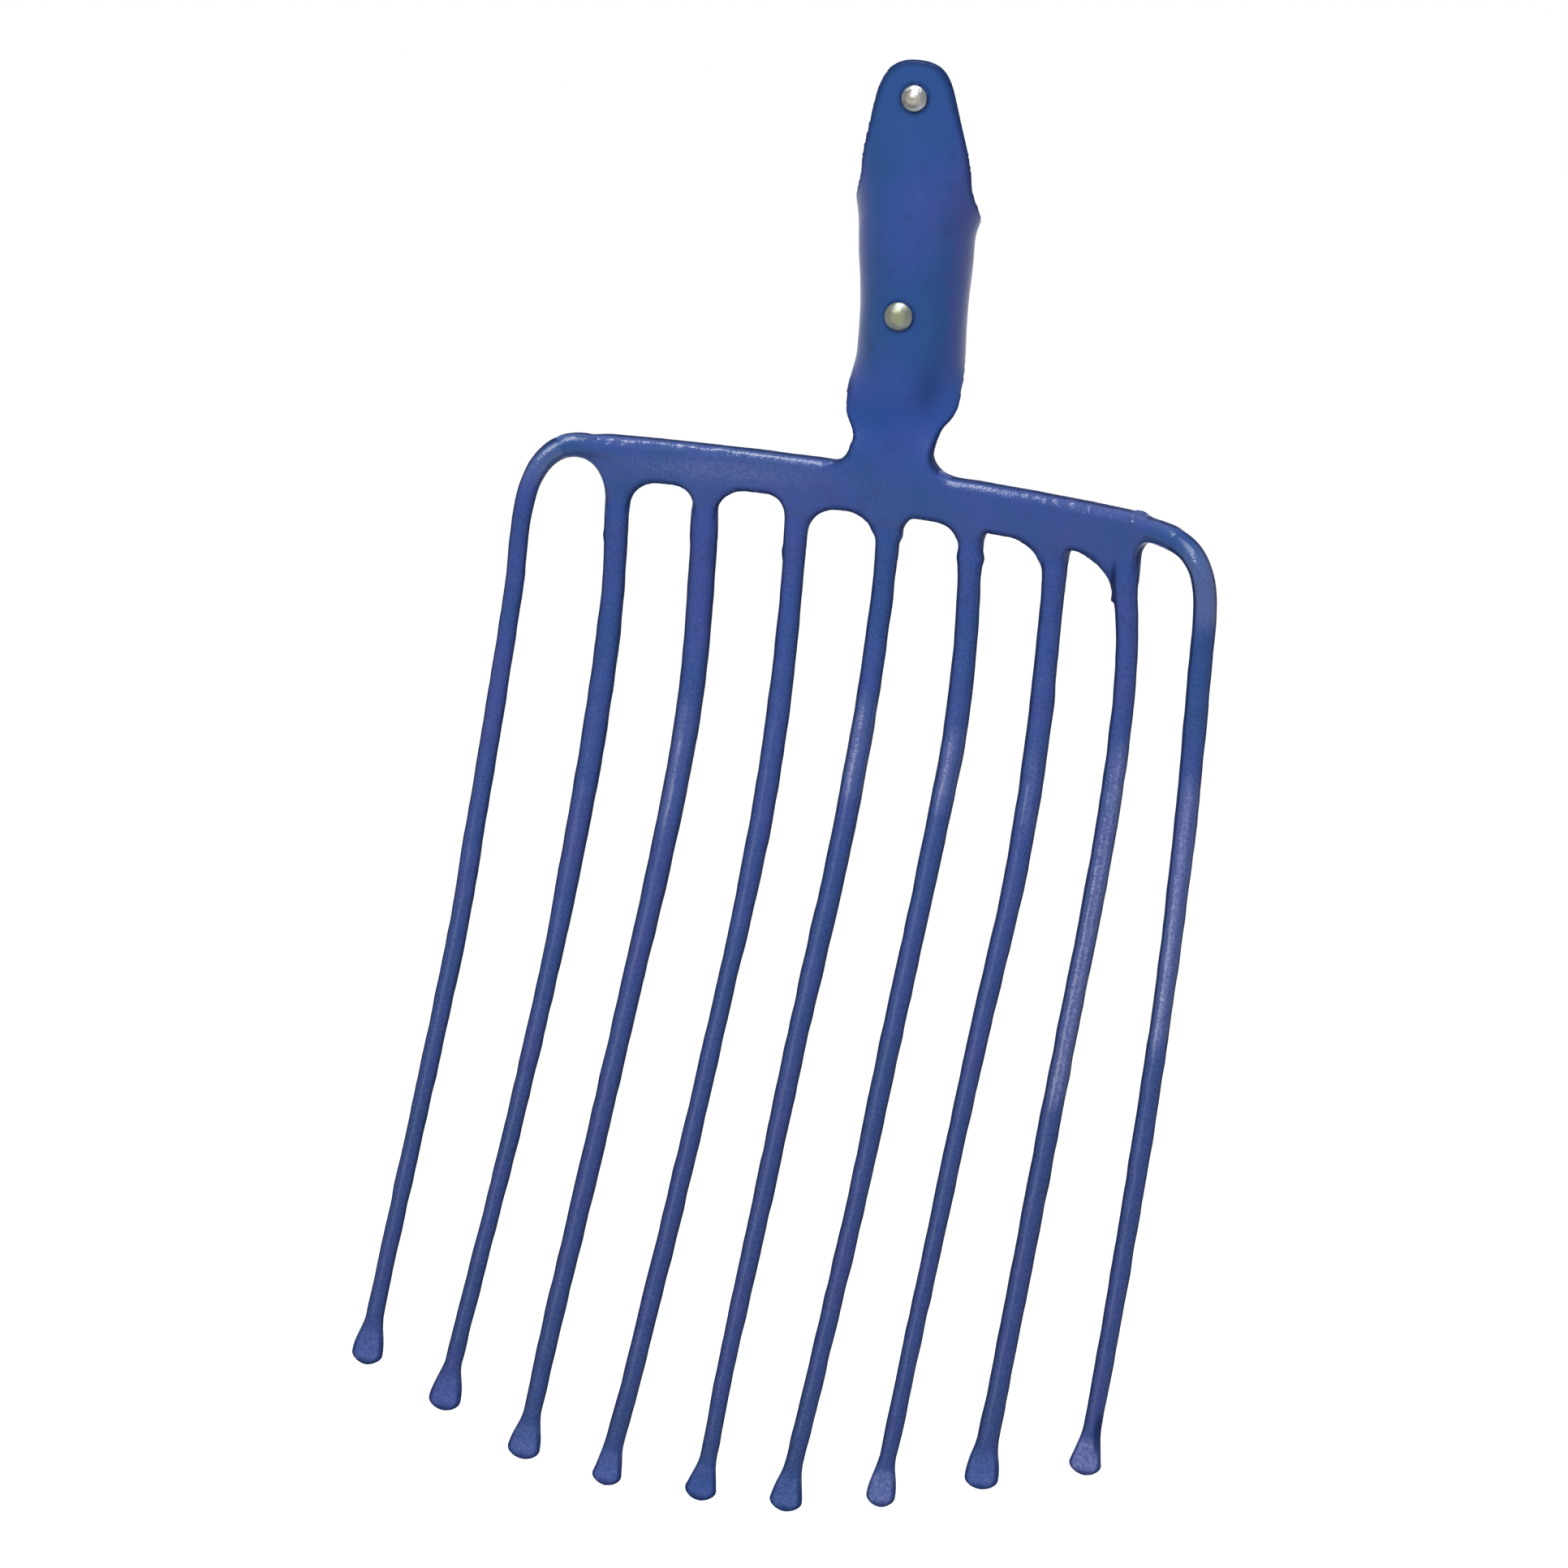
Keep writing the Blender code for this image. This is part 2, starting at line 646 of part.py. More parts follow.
def build_rivet(name, z, collection, datum, steel):
    """Round head in front of the sheet, shank through it, and a flat closed end behind it."""
    profile = []
    seat = -(SHEET / 2 + CLEARANCE)
    for step in range(RIVET_HEAD_STEPS + 1):
        angle = 0.5 * math.pi * step / RIVET_HEAD_STEPS
        profile.append((RIVET_HEAD_RADIUS * math.sin(angle), seat - RIVET_HEAD_HEIGHT * math.cos(angle)))
    rise = RIVET_TAIL_RADIUS ** 2 * curvature(z) / 2
    tail = SHEET / 2 + RIVET_TAIL_GAP + rise
    profile.append((RIVET_SHANK_RADIUS, seat))
    profile.append((RIVET_SHANK_RADIUS, tail))
    profile.append((RIVET_TAIL_RADIUS, tail))
    profile.append((RIVET_TAIL_RADIUS * RIVET_TAIL_TAPER, tail + RIVET_TAIL_HEIGHT))
    profile.append((0.0, tail + RIVET_TAIL_HEIGHT))
    mesh = bpy.data.meshes.new(name)
    verts = [(radius, 0.0, -depth) for radius, depth in profile]
    edges = [(number, number + 1) for number in range(len(verts) - 1)]
    mesh.from_pydata(verts, edges, [])
    rivet = add_object(name, mesh, collection, datum, steel)
    rivet.location = (0.0, front_line_y(z), z)
    rivet.rotation_euler = (math.pi / 2, 0.0, 0.0)
    turn = rivet.modifiers.new("turned", "SCREW")
    turn.axis = "Z"
    turn.angle = 2.0 * math.pi
    turn.steps = RIVET_SIDES
    turn.render_steps = RIVET_SIDES
    turn.use_merge_vertices = True
    turn.merge_threshold = SCORE_DISTANCE
    turn.use_smooth_shade = True
    return rivet


def build():
    clear_scene()
    collection = make_collection("stone_fork_head")
    cutters = make_collection("cutters")
    datum = bpy.data.objects.new("head_datum", None)
    collection.objects.link(datum)
    datum.location = (0.0, -(MOUTH_FRONT_Y + MOUTH_RADIUS), -MOUTH_Z)
    paint = make_material("blue_paint", PAINT_BLUE, 0.30, 0.0)
    steel = make_material("rivet_steel", RIVET_STEEL, 0.30, 1.0)
    build_head_plate(collection, cutters, datum, paint)
    for index in range(len(TINE_LENGTHS)):
        tine_paint = paint.copy()
        tine_paint.name = "blue_paint_tine_%d" % (index + 1)
        build_tine(index, collection, datum, tine_paint)
    build_rivet("rivet_upper", RIVET_UPPER_Z, collection, datum, steel)
    build_rivet("rivet_lower", RIVET_LOWER_Z, collection, datum, steel.copy())


build()
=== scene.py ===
# %% [markdown]
# # The head of a stone fork
#
# A stone fork is a wide hand tool for lifting stones, beets or potatoes while soil falls between its
# tines. Its steel head is made in a forge: a plate is cut, its upper part is rolled into a tapered
# socket for a wooden handle, nine round bars are welded along its lower edge, and the whole is
# painted blue.
#
# The sizes come from a packed CAD model, the frame. This file makes finer pieces in the same places
# and gives them the paint, the weld metal and the marks of the hammer that the CAD model leaves out.

# %% Load the frame
import math
import bpy
from mathutils import Matrix, Vector, noise
from mathutils.kdtree import KDTree


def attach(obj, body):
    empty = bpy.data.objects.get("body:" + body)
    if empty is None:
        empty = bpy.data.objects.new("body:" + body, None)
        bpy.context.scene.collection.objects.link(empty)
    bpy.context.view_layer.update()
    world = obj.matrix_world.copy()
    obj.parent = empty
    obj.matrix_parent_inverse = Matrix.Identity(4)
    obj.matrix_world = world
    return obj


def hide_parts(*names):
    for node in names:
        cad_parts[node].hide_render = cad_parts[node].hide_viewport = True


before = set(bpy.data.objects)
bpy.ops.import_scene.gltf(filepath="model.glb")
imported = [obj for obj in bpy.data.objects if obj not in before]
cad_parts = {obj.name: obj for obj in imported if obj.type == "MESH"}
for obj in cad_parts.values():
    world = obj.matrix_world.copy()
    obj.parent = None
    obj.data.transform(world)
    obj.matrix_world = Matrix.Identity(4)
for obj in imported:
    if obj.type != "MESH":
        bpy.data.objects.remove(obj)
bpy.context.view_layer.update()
print("nodes in the frame:", sorted(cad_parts))

# %% [markdown]
# ## The camera
#
# The photograph looks at the hollow front of the fork from a little above and from its right side.
# A long lens keeps the tines almost parallel. The camera is set by two angles, a distance and a
# slight roll, found by fitting the outline of the head to the photograph.

# %% Camera
LOOK_AT = Vector((-0.032408, -0.0186, -0.218503))
CAMERA_AZIMUTH = 0.28
CAMERA_ELEVATION = 0.20
CAMERA_ROLL = 0.0707945
CAMERA_DISTANCE = 1.7518592
LENS_MM = 104.35
SENSOR_MM = 36.0


def camera_axes():
    """The camera's own right, up and backward directions."""
    back = Vector((math.sin(CAMERA_AZIMUTH) * math.cos(CAMERA_ELEVATION),
                   -math.cos(CAMERA_AZIMUTH) * math.cos(CAMERA_ELEVATION),
                   math.sin(CAMERA_ELEVATION)))
    level = Vector((math.cos(CAMERA_AZIMUTH), math.sin(CAMERA_AZIMUTH), 0.0))
    upright = back.cross(level)
    right = math.cos(CAMERA_ROLL) * level + math.sin(CAMERA_ROLL) * upright
    return right, back.cross(right), back


right, up, back = camera_axes()
place = LOOK_AT + CAMERA_DISTANCE * back
bpy.ops.object.camera_add(location=place)
camera = bpy.context.object
camera.name = "photo_camera"
camera.matrix_world = Matrix((
    (right.x, up.x, back.x, place.x),
    (right.y, up.y, back.y, place.y),
    (right.z, up.z, back.z, place.z),
    (0.0, 0.0, 0.0, 1.0)))
camera.data.lens = LENS_MM
camera.data.sensor_width = SENSOR_MM
bpy.context.scene.camera = camera
print("camera stands at", [round(value, 4) for value in place])

# %% [markdown]
# ## A helper for the nodes
#
# In Blender every material, and the world too, is a tree of nodes joined by links. To add and join
# them one by one takes several lines each. One small class does it: it adds a node, gives each of its
# inputs a constant or another node's output, and has a short name for each kind that is used here.

# %% Trees of nodes
class NodeTree:
    """The nodes of a material or of the world, with short ways to add and join them."""

    def __init__(self, owner):
        owner.use_nodes = True
        self.nodes = owner.node_tree.nodes
        self.links = owner.node_tree.links

    def give(self, node, inputs):
        """Gives each named input a link where its value is an output, and otherwise a constant."""
        for name, value in inputs.items():
            if isinstance(value, bpy.types.NodeSocket):
                self.links.new(value, node.inputs[name])
            elif value is not None:
                node.inputs[name].default_value = value

    def add(self, kind, inputs, **settings):
        """Adds a node of one kind."""
        node = self.nodes.new("ShaderNode" + kind)
        for name, value in settings.items():
            setattr(node, name, value)
        self.give(node, inputs)
        return node

    def math(self, operation, *values):
        """The result of one sum on numbers or other nodes' outputs."""
        return self.add("Math", dict(enumerate(values)), operation=operation).outputs[0]

    def levels(self, factor, low, high, start=0.3, end=0.7, curve="LINEAR"):
        """Maps a factor from start..end to low..high, and holds it there beyond."""
        inputs = {"Value": factor, "From Min": start, "From Max": end, "To Min": low, "To Max": high}
        return self.add("MapRange", inputs, interpolation_type=curve).outputs["Result"]

    def mix(self, factor, first, second):
        """One colour where the factor is 0 and another where it is 1."""
        return self.add("Mix", {"Factor": factor, 6: first, 7: second}, data_type="RGBA").outputs[2]

    def ramp(self, factor, stops):
        """A colour ramp through (position, colour) stops."""
        node = self.add("ValToRGB", {"Fac": factor})
        elements = node.color_ramp.elements
        while len(elements) < len(stops):
            elements.new(0.5)
        for element, (position, colour) in zip(elements, stops):
            element.position = position
            element.color = colour
        return node.outputs["Color"]

    def bump(self, height, distance, strength=1.0, before=None):
        """Raises the surface's shading by up to the distance in metres, on top of an earlier bump."""
        inputs = {"Height": height, "Distance": distance, "Strength": strength, "Normal": before}
        return self.add("Bump", inputs).outputs["Normal"]

    def coordinates(self):
        """Places in the object's own space."""
        return self.add("TexCoord", {}).outputs["Object"]

    def noise(self, scale, detail, roughness):
        """A noise pattern in the object's own space; the scale is in waves per metre."""
        inputs = {"Vector": self.coordinates(), "Scale": scale, "Detail": detail, "Roughness": roughness}
        return self.add("TexNoise", inputs).outputs["Fac"]

    def point_number(self, name):
        """A number that the mesh keeps at its points."""
        return self.add("Attribute", {}, attribute_name=name).outputs["Fac"]

    def seen_directly(self):
        """A factor of 1 for camera, glossy and transmission rays, and 0 for diffuse light."""
        rays = self.add("LightPath", {}).outputs
        either = self.math("MAXIMUM", rays["Is Camera Ray"], rays["Is Glossy Ray"])
        return self.math("MAXIMUM", either, rays["Is Transmission Ray"])


print("short names for nodes:", [name for name in vars(NodeTree) if name[0] != "_"])

# %% [markdown]
# ## Floor and light
#
# The fork hangs in front of a plain white background. A large pale floor lies well below the tips.
# It glows more with distance, so that it runs into the white behind, and less right under the fork,
# where it keeps the fork's shadow. The world is white to the eye and in reflections, and dimmer as a
# lamp. A wide soft lamp in front and to the left shades the round bars from left to right, a small
# one overhead draws the bright line along the crossbar's upper edge, and one on the right that isn't
# seen in the gloss fills in.

# %% Floor and world
FLOOR_Z = -0.80
FLOOR_SIZE = 30.0
FLOOR_COLOUR = (0.72, 0.72, 0.72, 1.0)
WHITE = (1.0, 1.0, 1.0, 1.0)
GLOW_NEAR = 0.28
GLOW_FAR = 0.80
GLOW_START = 0.25
GLOW_END = 0.62
AMBIENT = 0.27


def pick(*chosen):
    """Selects only these objects and makes the first one active."""
    bpy.ops.object.select_all(action="DESELECT")
    for item in chosen:
        item.select_set(True)
    bpy.context.view_layer.objects.active = chosen[0]


bpy.ops.object.select_all(action="DESELECT")
bpy.ops.mesh.primitive_plane_add(size=FLOOR_SIZE, location=(0.0, 0.0, FLOOR_Z))
floor = bpy.context.object
floor.name = "floor"
floor_finish = bpy.data.materials.new("pale_floor")
tree = NodeTree(floor_finish)
shader = tree.nodes["Principled BSDF"]
tree.give(shader, {"Base Color": FLOOR_COLOUR, "Roughness": 0.9})
away = tree.add("VectorMath", {0: tree.coordinates()}, operation="LENGTH").outputs["Value"]
glow_level = tree.levels(away, GLOW_NEAR, GLOW_FAR, GLOW_START, GLOW_END, "SMOOTHSTEP")
strength = tree.math("MULTIPLY", tree.seen_directly(), glow_level)
glow = tree.add("Emission", {"Color": WHITE, "Strength": strength})
both = tree.add("AddShader", {0: shader.outputs[0], 1: glow.outputs[0]})
tree.give(tree.nodes["Material Output"], {"Surface": both.outputs[0]})
floor.data.materials.append(floor_finish)

world = bpy.data.worlds.new("white_studio")
bpy.context.scene.world = world
tree = NodeTree(world)
sky_level = tree.levels(tree.seen_directly(), AMBIENT, 1.0, 0.0, 1.0)
tree.give(tree.nodes["Background"], {"Color": WHITE, "Strength": sky_level})
bpy.context.scene.view_settings.view_transform = "Standard"

# %% Lamps
LAMPS = (
    ("front_lamp", (-0.60, -1.65, 1.20), 1.00, 1.00, 24.0, True),
    ("top_lamp", (-0.10, -0.50, 0.85), 0.60, 0.42, 8.0, True),
    ("fill_lamp", (1.20, -1.30, 0.10), 0.90, 0.90, 12.5, False),
)
LAMPS_AIM = Vector((0.0, -0.04, -0.16))

for name, spot, wide, tall, power, mirrored in LAMPS:
    bpy.ops.object.light_add(type="AREA", location=spot)
    lamp = bpy.context.object
    lamp.name = name
    lamp.data.shape = "RECTANGLE"
    lamp.data.size = wide
    lamp.data.size_y = tall
    lamp.data.energy = power
    lamp.visible_glossy = mirrored
    lamp.rotation_euler = (LAMPS_AIM - Vector(spot)).to_track_quat("-Z", "Y").to_euler()
    print(name, power, "W")

# %% [markdown]
# ## Blue paint
#
# The head is painted with a glossy blue enamel. The blue isn't even: it drifts between a greener blue
# and a violet one over a few centimetres, and its skin is uneven, so highlights break into beads. One
# noise drives the slow drift of colour, a finer one dark mottling, a third the roughness, a fourth
# pale specks, and two bumps give the dents and the orange peel. A thin clear coat gives the glints.
#
# What differs from place to place is kept in the meshes, as numbers at their points. painted_shade is
# painted shade: it darkens cut edges, outlines, crevices and the bars' flanks. colour_drift shifts the
# blue, and on the socket it adds a painted sheen at its sides and a painted shade left of its middle.
# enamel_gloss is the weight of the clear coat, and specks_and_glints says how strongly the pale specks show;
# where they bunch into beads they are painted glints, and on the paddles' faces painted light. The
# paint grows darker down the tines, and rubbed, which is -1 on the paddles, takes that away again, so
# their faces stay lighter as painted light.

# %% Paint
PAINT_GREENER = (0.007, 0.046, 0.174, 1.0)
PAINT_MIDDLE = (0.016, 0.047, 0.203, 1.0)
PAINT_VIOLET = (0.027, 0.046, 0.210, 1.0)
# a darker blue, for the dark mottling and for the darkening down the tines
PAINT_DARKER = (0.008, 0.016, 0.060, 1.0)
# painted shade: the colour laid on cut edges, outlines, hollows, flanks and tips, where shade falls
PAINT_SHADE = (0.004, 0.015, 0.068, 1.0)
# pale specks of the paint; where they bunch into beads they are painted glints, and on the paddles' faces
# painted light
PAINT_SPECK_GLINT = (0.140, 0.160, 0.335, 1.0)
GLOSS = 0.36
BAR_GLOSS = 0.05
BEADED_GLOSS = 0.5
BEADED_PEEL = (0.30, 1.0)
MATT_EDGES = 0.40
PEEL_HEIGHT = 0.00018
PLATE_DENTS = 0.00035
BAR_DENTS = 0.00070
SPECULAR_LEVEL = 0.10
COAT_ROUGHNESS = 0.13
# each noise: waves per metre, detail and roughness
DRIFT_NOISE = (26.0, 2.0, 0.5)
MOTTLE_NOISE = (150.0, 5.0, 0.65)
SPECKLE_NOISE = (900.0, 3.0, 0.6)
ROUGHNESS_NOISE = (60.0, 4.0, 0.6)
DENT_NOISE = (75.0, 2.0, 0.5)
PEEL_NOISE = (900.0, 2.0, 0.5)
DRIFT_STOPS = ((0.30, PAINT_GREENER), (0.50, PAINT_MIDDLE), (0.72, PAINT_VIOLET))
# each range: what it gives at its start and end, and where in the noise those lie
MOTTLING = (0.0, 0.45, 0.56, 0.80)
SPECKS = (0.36, 0.92, 0.40, 0.64)
ROUGHNESS = (0.32, 0.50)
# how much darker the paint is at the tines' ends, and the heights between which it grows darker
DULL_SHARE = 0.52
DULL_FROM_Z = -0.10
DULL_TO_Z = -0.34


def blue_paint(name, dent_height):
    """Uneven glossy blue enamel, patterned in the fork's own space, so it runs on through joints."""
    finish = bpy.data.materials.new(name)
    tree = NodeTree(finish)
    painted_shade = tree.point_number("painted_shade")
    gloss = tree.point_number("enamel_gloss")
    # colour_drift also carries the socket's painted sheen and painted shade
    drift = tree.math("ADD", tree.noise(*DRIFT_NOISE), tree.point_number("colour_drift"))
    colour = tree.ramp(drift, DRIFT_STOPS)
    mottling = tree.levels(tree.noise(*MOTTLE_NOISE), *MOTTLING)
    colour = tree.mix(mottling, colour, PAINT_DARKER)
    # painted shade on cut edges, outlines, hollows, the crossbar's upper face and the bars' flanks
    colour = tree.mix(painted_shade, colour, PAINT_SHADE)
    height = tree.add("SeparateXYZ", {0: tree.coordinates()}).outputs["Z"]
    dulled = tree.levels(height, 0.0, DULL_SHARE, DULL_FROM_Z, DULL_TO_Z)
    # the paddles lose this darkening, so their faces stay lighter: painted light
    dulled = tree.math("MULTIPLY_ADD", dulled, tree.point_number("paddle_light"), dulled)
    colour = tree.mix(dulled, colour, PAINT_DARKER)
    # pale specks: painted glints in the beaded stretches, painted light on the paddles' faces
    specks = tree.levels(tree.noise(*SPECKLE_NOISE), *SPECKS)
    specks = tree.math("MULTIPLY", tree.point_number("specks_and_glints"), specks)
    colour = tree.mix(specks, colour, PAINT_SPECK_GLINT)
    rough = tree.levels(tree.noise(*ROUGHNESS_NOISE), *ROUGHNESS)
    rough = tree.math("MULTIPLY_ADD", painted_shade, MATT_EDGES, rough)
    dented = tree.bump(tree.noise(*DENT_NOISE), dent_height)
    peel = tree.levels(gloss, *BEADED_PEEL, GLOSS, BEADED_GLOSS)
    skin = tree.bump(tree.noise(*PEEL_NOISE), PEEL_HEIGHT, peel, dented)
    tree.give(tree.nodes["Principled BSDF"], {
        "Base Color": colour, "Roughness": rough, "Normal": skin, "Specular IOR Level": SPECULAR_LEVEL,
        "Coat Weight": gloss, "Coat Roughness": COAT_ROUGHNESS, "Coat Normal": skin})
    return finish


plate_paint = blue_paint("blue_paint_plate", PLATE_DENTS)
print("paint for the plate:", plate_paint.name)

# %% [markdown]
# ## The head plate, cut flat
#
# The plate is one forging. A blacksmith cuts its outline from a flat sheet, then bends it: the upper
# part round a mandrel to make the socket, the lower part to a shallow dish. The same two steps give
# the cleanest mesh here, because every cut edge then follows the bend. The outline is drawn on the
# flat sheet as half widths and heights. Each side has its own, because the head isn't quite
# symmetrical, and the left one is mirrored when both are put together.

# %% Outline of the flat sheet
DATUM = Vector((0.0, -0.0186, -0.1120))
MOUTH_Z = 0.1120
SEAM_TOP_Z = 0.1080
SEAM_LOW_Z = 0.0800
SEAM_GAP = 0.0070
TONGUE_TOP_Z = 0.1725
# the tongue's rounded end, its flank and the socket's rim, as cubic curves for the left and the right
LEFT_CURVES = (
    ((0.0, 0.1725), (0.0116, 0.1725), (0.0133, 0.1655), (0.0157, 0.1570)),
    ((0.0157, 0.1570), (0.0176, 0.1470), (0.0203, 0.1380), (0.0222, 0.1285)),
    ((0.0222, 0.1285), (0.0283, 0.1175), (0.0390, 0.1110)),
)
RIGHT_CURVES = (
    ((0.0, 0.1725), (0.0114, 0.1725), (0.0130, 0.1655), (0.0157, 0.1570)),
    ((0.0157, 0.1570), (0.0186, 0.1470), (0.0221, 0.1380), (0.0239, 0.1285)),
    ((0.0239, 0.1285), (0.0266, 0.1180), (0.0390, 0.1110)),
)
# width and height of the rounding between crossbar and neck
FILLET_LEFT = (0.0065, 0.0063)
FILLET_RIGHT = (0.0112, 0.0075)
TILT_FADE = 0.0112
BAR_TOP_Z = 0.0199
BAR_LEFT = -0.1085
BAR_RIGHT = 0.1062
# weld metal carries the sheet on under the two outer bars
SHEET_LEFT = -0.1145
SHEET_RIGHT = 0.1087
BAR_END_SLOPE = 0.0100
BAR_END_DROP = 0.0014
BAR_END_LOW_Z = 0.0106
LAST_SHOULDER_Z = 0.0028
FLAT_HALF = 0.0085
DISH_RADIUS = 0.220
LEAN = math.radians(5.6)
TILT = math.radians(2.2)
STUBS_X = (-0.1006, -0.0691, -0.0346, 0.0013, 0.0346, 0.0690, 0.0982)
STUB_HALF = 0.0042
STUB_TIP_HALF = 0.0034
STUB_END_Z = -0.0150
# each arch between two stubs: height of its top, then width and height of its left and right corner
ARCHES = (
    (0.0036, 0.0095, 0.0095, 0.0075, 0.0080),
    (0.0043, 0.0110, 0.0110, 0.0070, 0.0080),
    (0.0019, 0.0130, 0.0125, 0.0120, 0.0115),
    (0.0028, 0.0070, 0.0130, 0.0095, 0.0095),
    (0.0019, 0.0030, 0.0040, 0.0140, 0.0135),
    (0.0014, 0.0030, 0.0040, 0.0165, 0.0160),
)
ROLL = (
    (BAR_TOP_Z, -1.0 / DISH_RADIUS), (0.0260, 1.5), (0.0320, 9.0), (0.0400, 22.0), (0.0465, 33.6),
    (0.0526, 45.8), (0.0590, 52.0), (0.0660, 52.9), (0.0800, 53.2), (0.0980, 49.8), (MOUTH_Z, 47.2),
    (0.1420, 25.0), (TONGUE_TOP_Z, 4.0),
)
# how far the hand-rolled socket wanders sideways
SWAY = (
    (0.0400, 0.00012), (0.0520, 0.00055), (0.0640, 0.00051), (0.0760, 0.00040), (0.0920, -0.00010),
    (0.1060, -0.00070), (0.1150, -0.00040), (0.1300, 0.0),
)
FRONT = (
    (0.0060, -0.0006), (0.0140, -0.0012), (BAR_TOP_Z, -0.0014), (0.0280, -0.0013), (0.0360, -0.0011),
    (0.0460, -0.0010), (0.0850, -0.0010), (MOUTH_Z, -0.0025), (TONGUE_TOP_Z, -0.0010),
)
# half width of the sheet against height between neck and socket, on the left and on the right
FLARE_HEIGHTS = (
    0.0262, 0.0300, 0.0340, 0.0370, 0.0400, 0.0430, 0.0465, 0.0500, 0.0526, 0.0560, 0.0590, 0.0640, 0.0700,
)
FLARE_LEFT = tuple(zip(FLARE_HEIGHTS, (
    0.0151, 0.0141, 0.0155, 0.0178, 0.0194, 0.0202, 0.0215, 0.0236, 0.0242, 0.0269, 0.0302, 0.0361, 0.0436)))
FLARE_RIGHT = tuple(zip(FLARE_HEIGHTS, (
    0.0164, 0.0170, 0.0182, 0.0195, 0.0222, 0.0239, 0.0251, 0.0265, 0.0279, 0.0306, 0.0330, 0.0383, 0.0452)))


def ease(value):
    value = min(max(value, 0.0), 1.0)
    return value * value * (3.0 - 2.0 * value)


def rise(value, start, reach):
    """0 up to the start, then easing to 1 over the reach."""
    return ease((value - start) / reach)


def fall(value, start, reach):
    """1 up to the start, then easing to 0 over the reach."""
    return 1.0 - rise(value, start, reach)


def through(stations, z):
    """Smooth curve through (height, value) stations, level beyond the first and the last."""
    if z <= stations[0][0]:
        return stations[0][1]
    if z >= stations[-1][0]:
        return stations[-1][1]
    start = max(index for index, station in enumerate(stations) if station[0] <= z)
    (low_z, low), (high_z, high) = stations[start], stations[start + 1]
    span = high_z - low_z
    slopes = []
    for index in (start, start + 1):
        first = stations[max(index - 1, 0)]
        last = stations[min(index + 1, len(stations) - 1)]
        slopes.append((last[1] - first[1]) / (last[0] - first[0]) * span)
    t = (z - low_z) / span
    return (low + (high - low) * ease(t) + slopes[0] * t * (1.0 - t) ** 2
            - slopes[1] * t * t * (1.0 - t))


def seam_half(z):
    return math.pi / through(ROLL, z) - SEAM_GAP / 2


def cubic(corners, steps):
    points = []
    for index in range(steps + 1):
        t = index / steps
        weights = ((1 - t) ** 3, 3 * t * (1 - t) ** 2, 3 * t * t * (1 - t), t ** 3)
        points.append(tuple(sum(w * c[axis] for w, c in zip(weights, corners)) for axis in (0, 1)))
    return points


def spread(start, end, spacing):
    count = max(1, round(abs(end - start) / spacing))
    return [start + (end - start) * index / count for index in range(count + 1)]


def arc(centre_u, centre_z, radius_u, radius_z, start, end, steps=10):
    """Points along part of an ellipse, between two angles in degrees."""
    angles = [math.radians(start + (end - start) * index / steps) for index in range(steps + 1)]
    return [(centre_u + radius_u * math.cos(turn), centre_z + radius_z * math.sin(turn)) for turn in angles]


def upper_side(fillet, end_u, flare, curves):
    """One side of the sheet from the tongue's top to the crossbar's end, drawn as if on the right."""
    rounded, flank, rim = curves
    rim_end = (seam_half(SEAM_TOP_Z), SEAM_TOP_Z)
    points = cubic(rounded, 16) + cubic(flank, 10)[1:] + cubic((*rim, rim_end), 18)[1:]
    points += [(seam_half(z), z) for z in spread(SEAM_TOP_Z, SEAM_LOW_Z, 0.003)[1:]]
    flare = flare + ((SEAM_LOW_Z, seam_half(SEAM_LOW_Z)),)
    neck_z = BAR_TOP_Z + fillet[1]
    points += [(through(flare, z), z) for z in spread(SEAM_LOW_Z, neck_z, 0.0015)[1:]]
    points += arc(through(flare, neck_z) + fillet[0], neck_z, *fillet, 180, 270)[1:]
    points += [(end_u - BAR_END_SLOPE, BAR_TOP_Z), (end_u, BAR_TOP_Z - BAR_END_DROP)]
    return points + [(end_u, BAR_END_LOW_Z)]


def lower_side():
    """The sheet's lower edge from right to left, round every stub and arch."""
    last = len(STUBS_X) - 1
    shoulder = ARCHES[-1][0] - ARCHES[-1][4]
    ledge = SHEET_RIGHT - STUBS_X[last] - STUB_HALF
    points = arc(SHEET_RIGHT, LAST_SHOULDER_Z, ledge, BAR_END_LOW_Z - LAST_SHOULDER_Z, 90, 180)
    points.append((SHEET_RIGHT - ledge, shoulder))
    for index in range(last, -1, -1):
        points += [(STUBS_X[index] + side * STUB_TIP_HALF, STUB_END_Z) for side in (1, -1)]
        if index > 0:
            top, left_wide, left_tall, right_wide, right_tall = ARCHES[index - 1]
            near = STUBS_X[index] - STUB_HALF - right_wide
            far = STUBS_X[index - 1] + STUB_HALF + left_wide
            points += arc(near, top - right_tall, right_wide, right_tall, 0, 90)
            points += arc(far, top - left_tall, left_wide, left_tall, 90, 180)
    shoulder = ARCHES[0][0] - ARCHES[0][2]
    ledge = STUBS_X[0] - STUB_HALF - SHEET_LEFT
    points += arc(SHEET_LEFT, shoulder, ledge, BAR_END_LOW_Z - shoulder, 0, 90)
    return points


right_side = upper_side(FILLET_RIGHT, SHEET_RIGHT, FLARE_RIGHT, RIGHT_CURVES)
left_side = reversed(upper_side(FILLET_LEFT, -SHEET_LEFT, FLARE_LEFT, LEFT_CURVES))
outline = right_side + lower_side()[1:-1] + [(-u, z) for u, z in left_side if u > 0.0]
print("points round the flat sheet:", len(outline))

# %% [markdown]
# The outline is filled, and straight cuts are made across it, close together where the sheet will
# be rolled and further apart on the crossbar. A sheet can only bend along the edges it has.

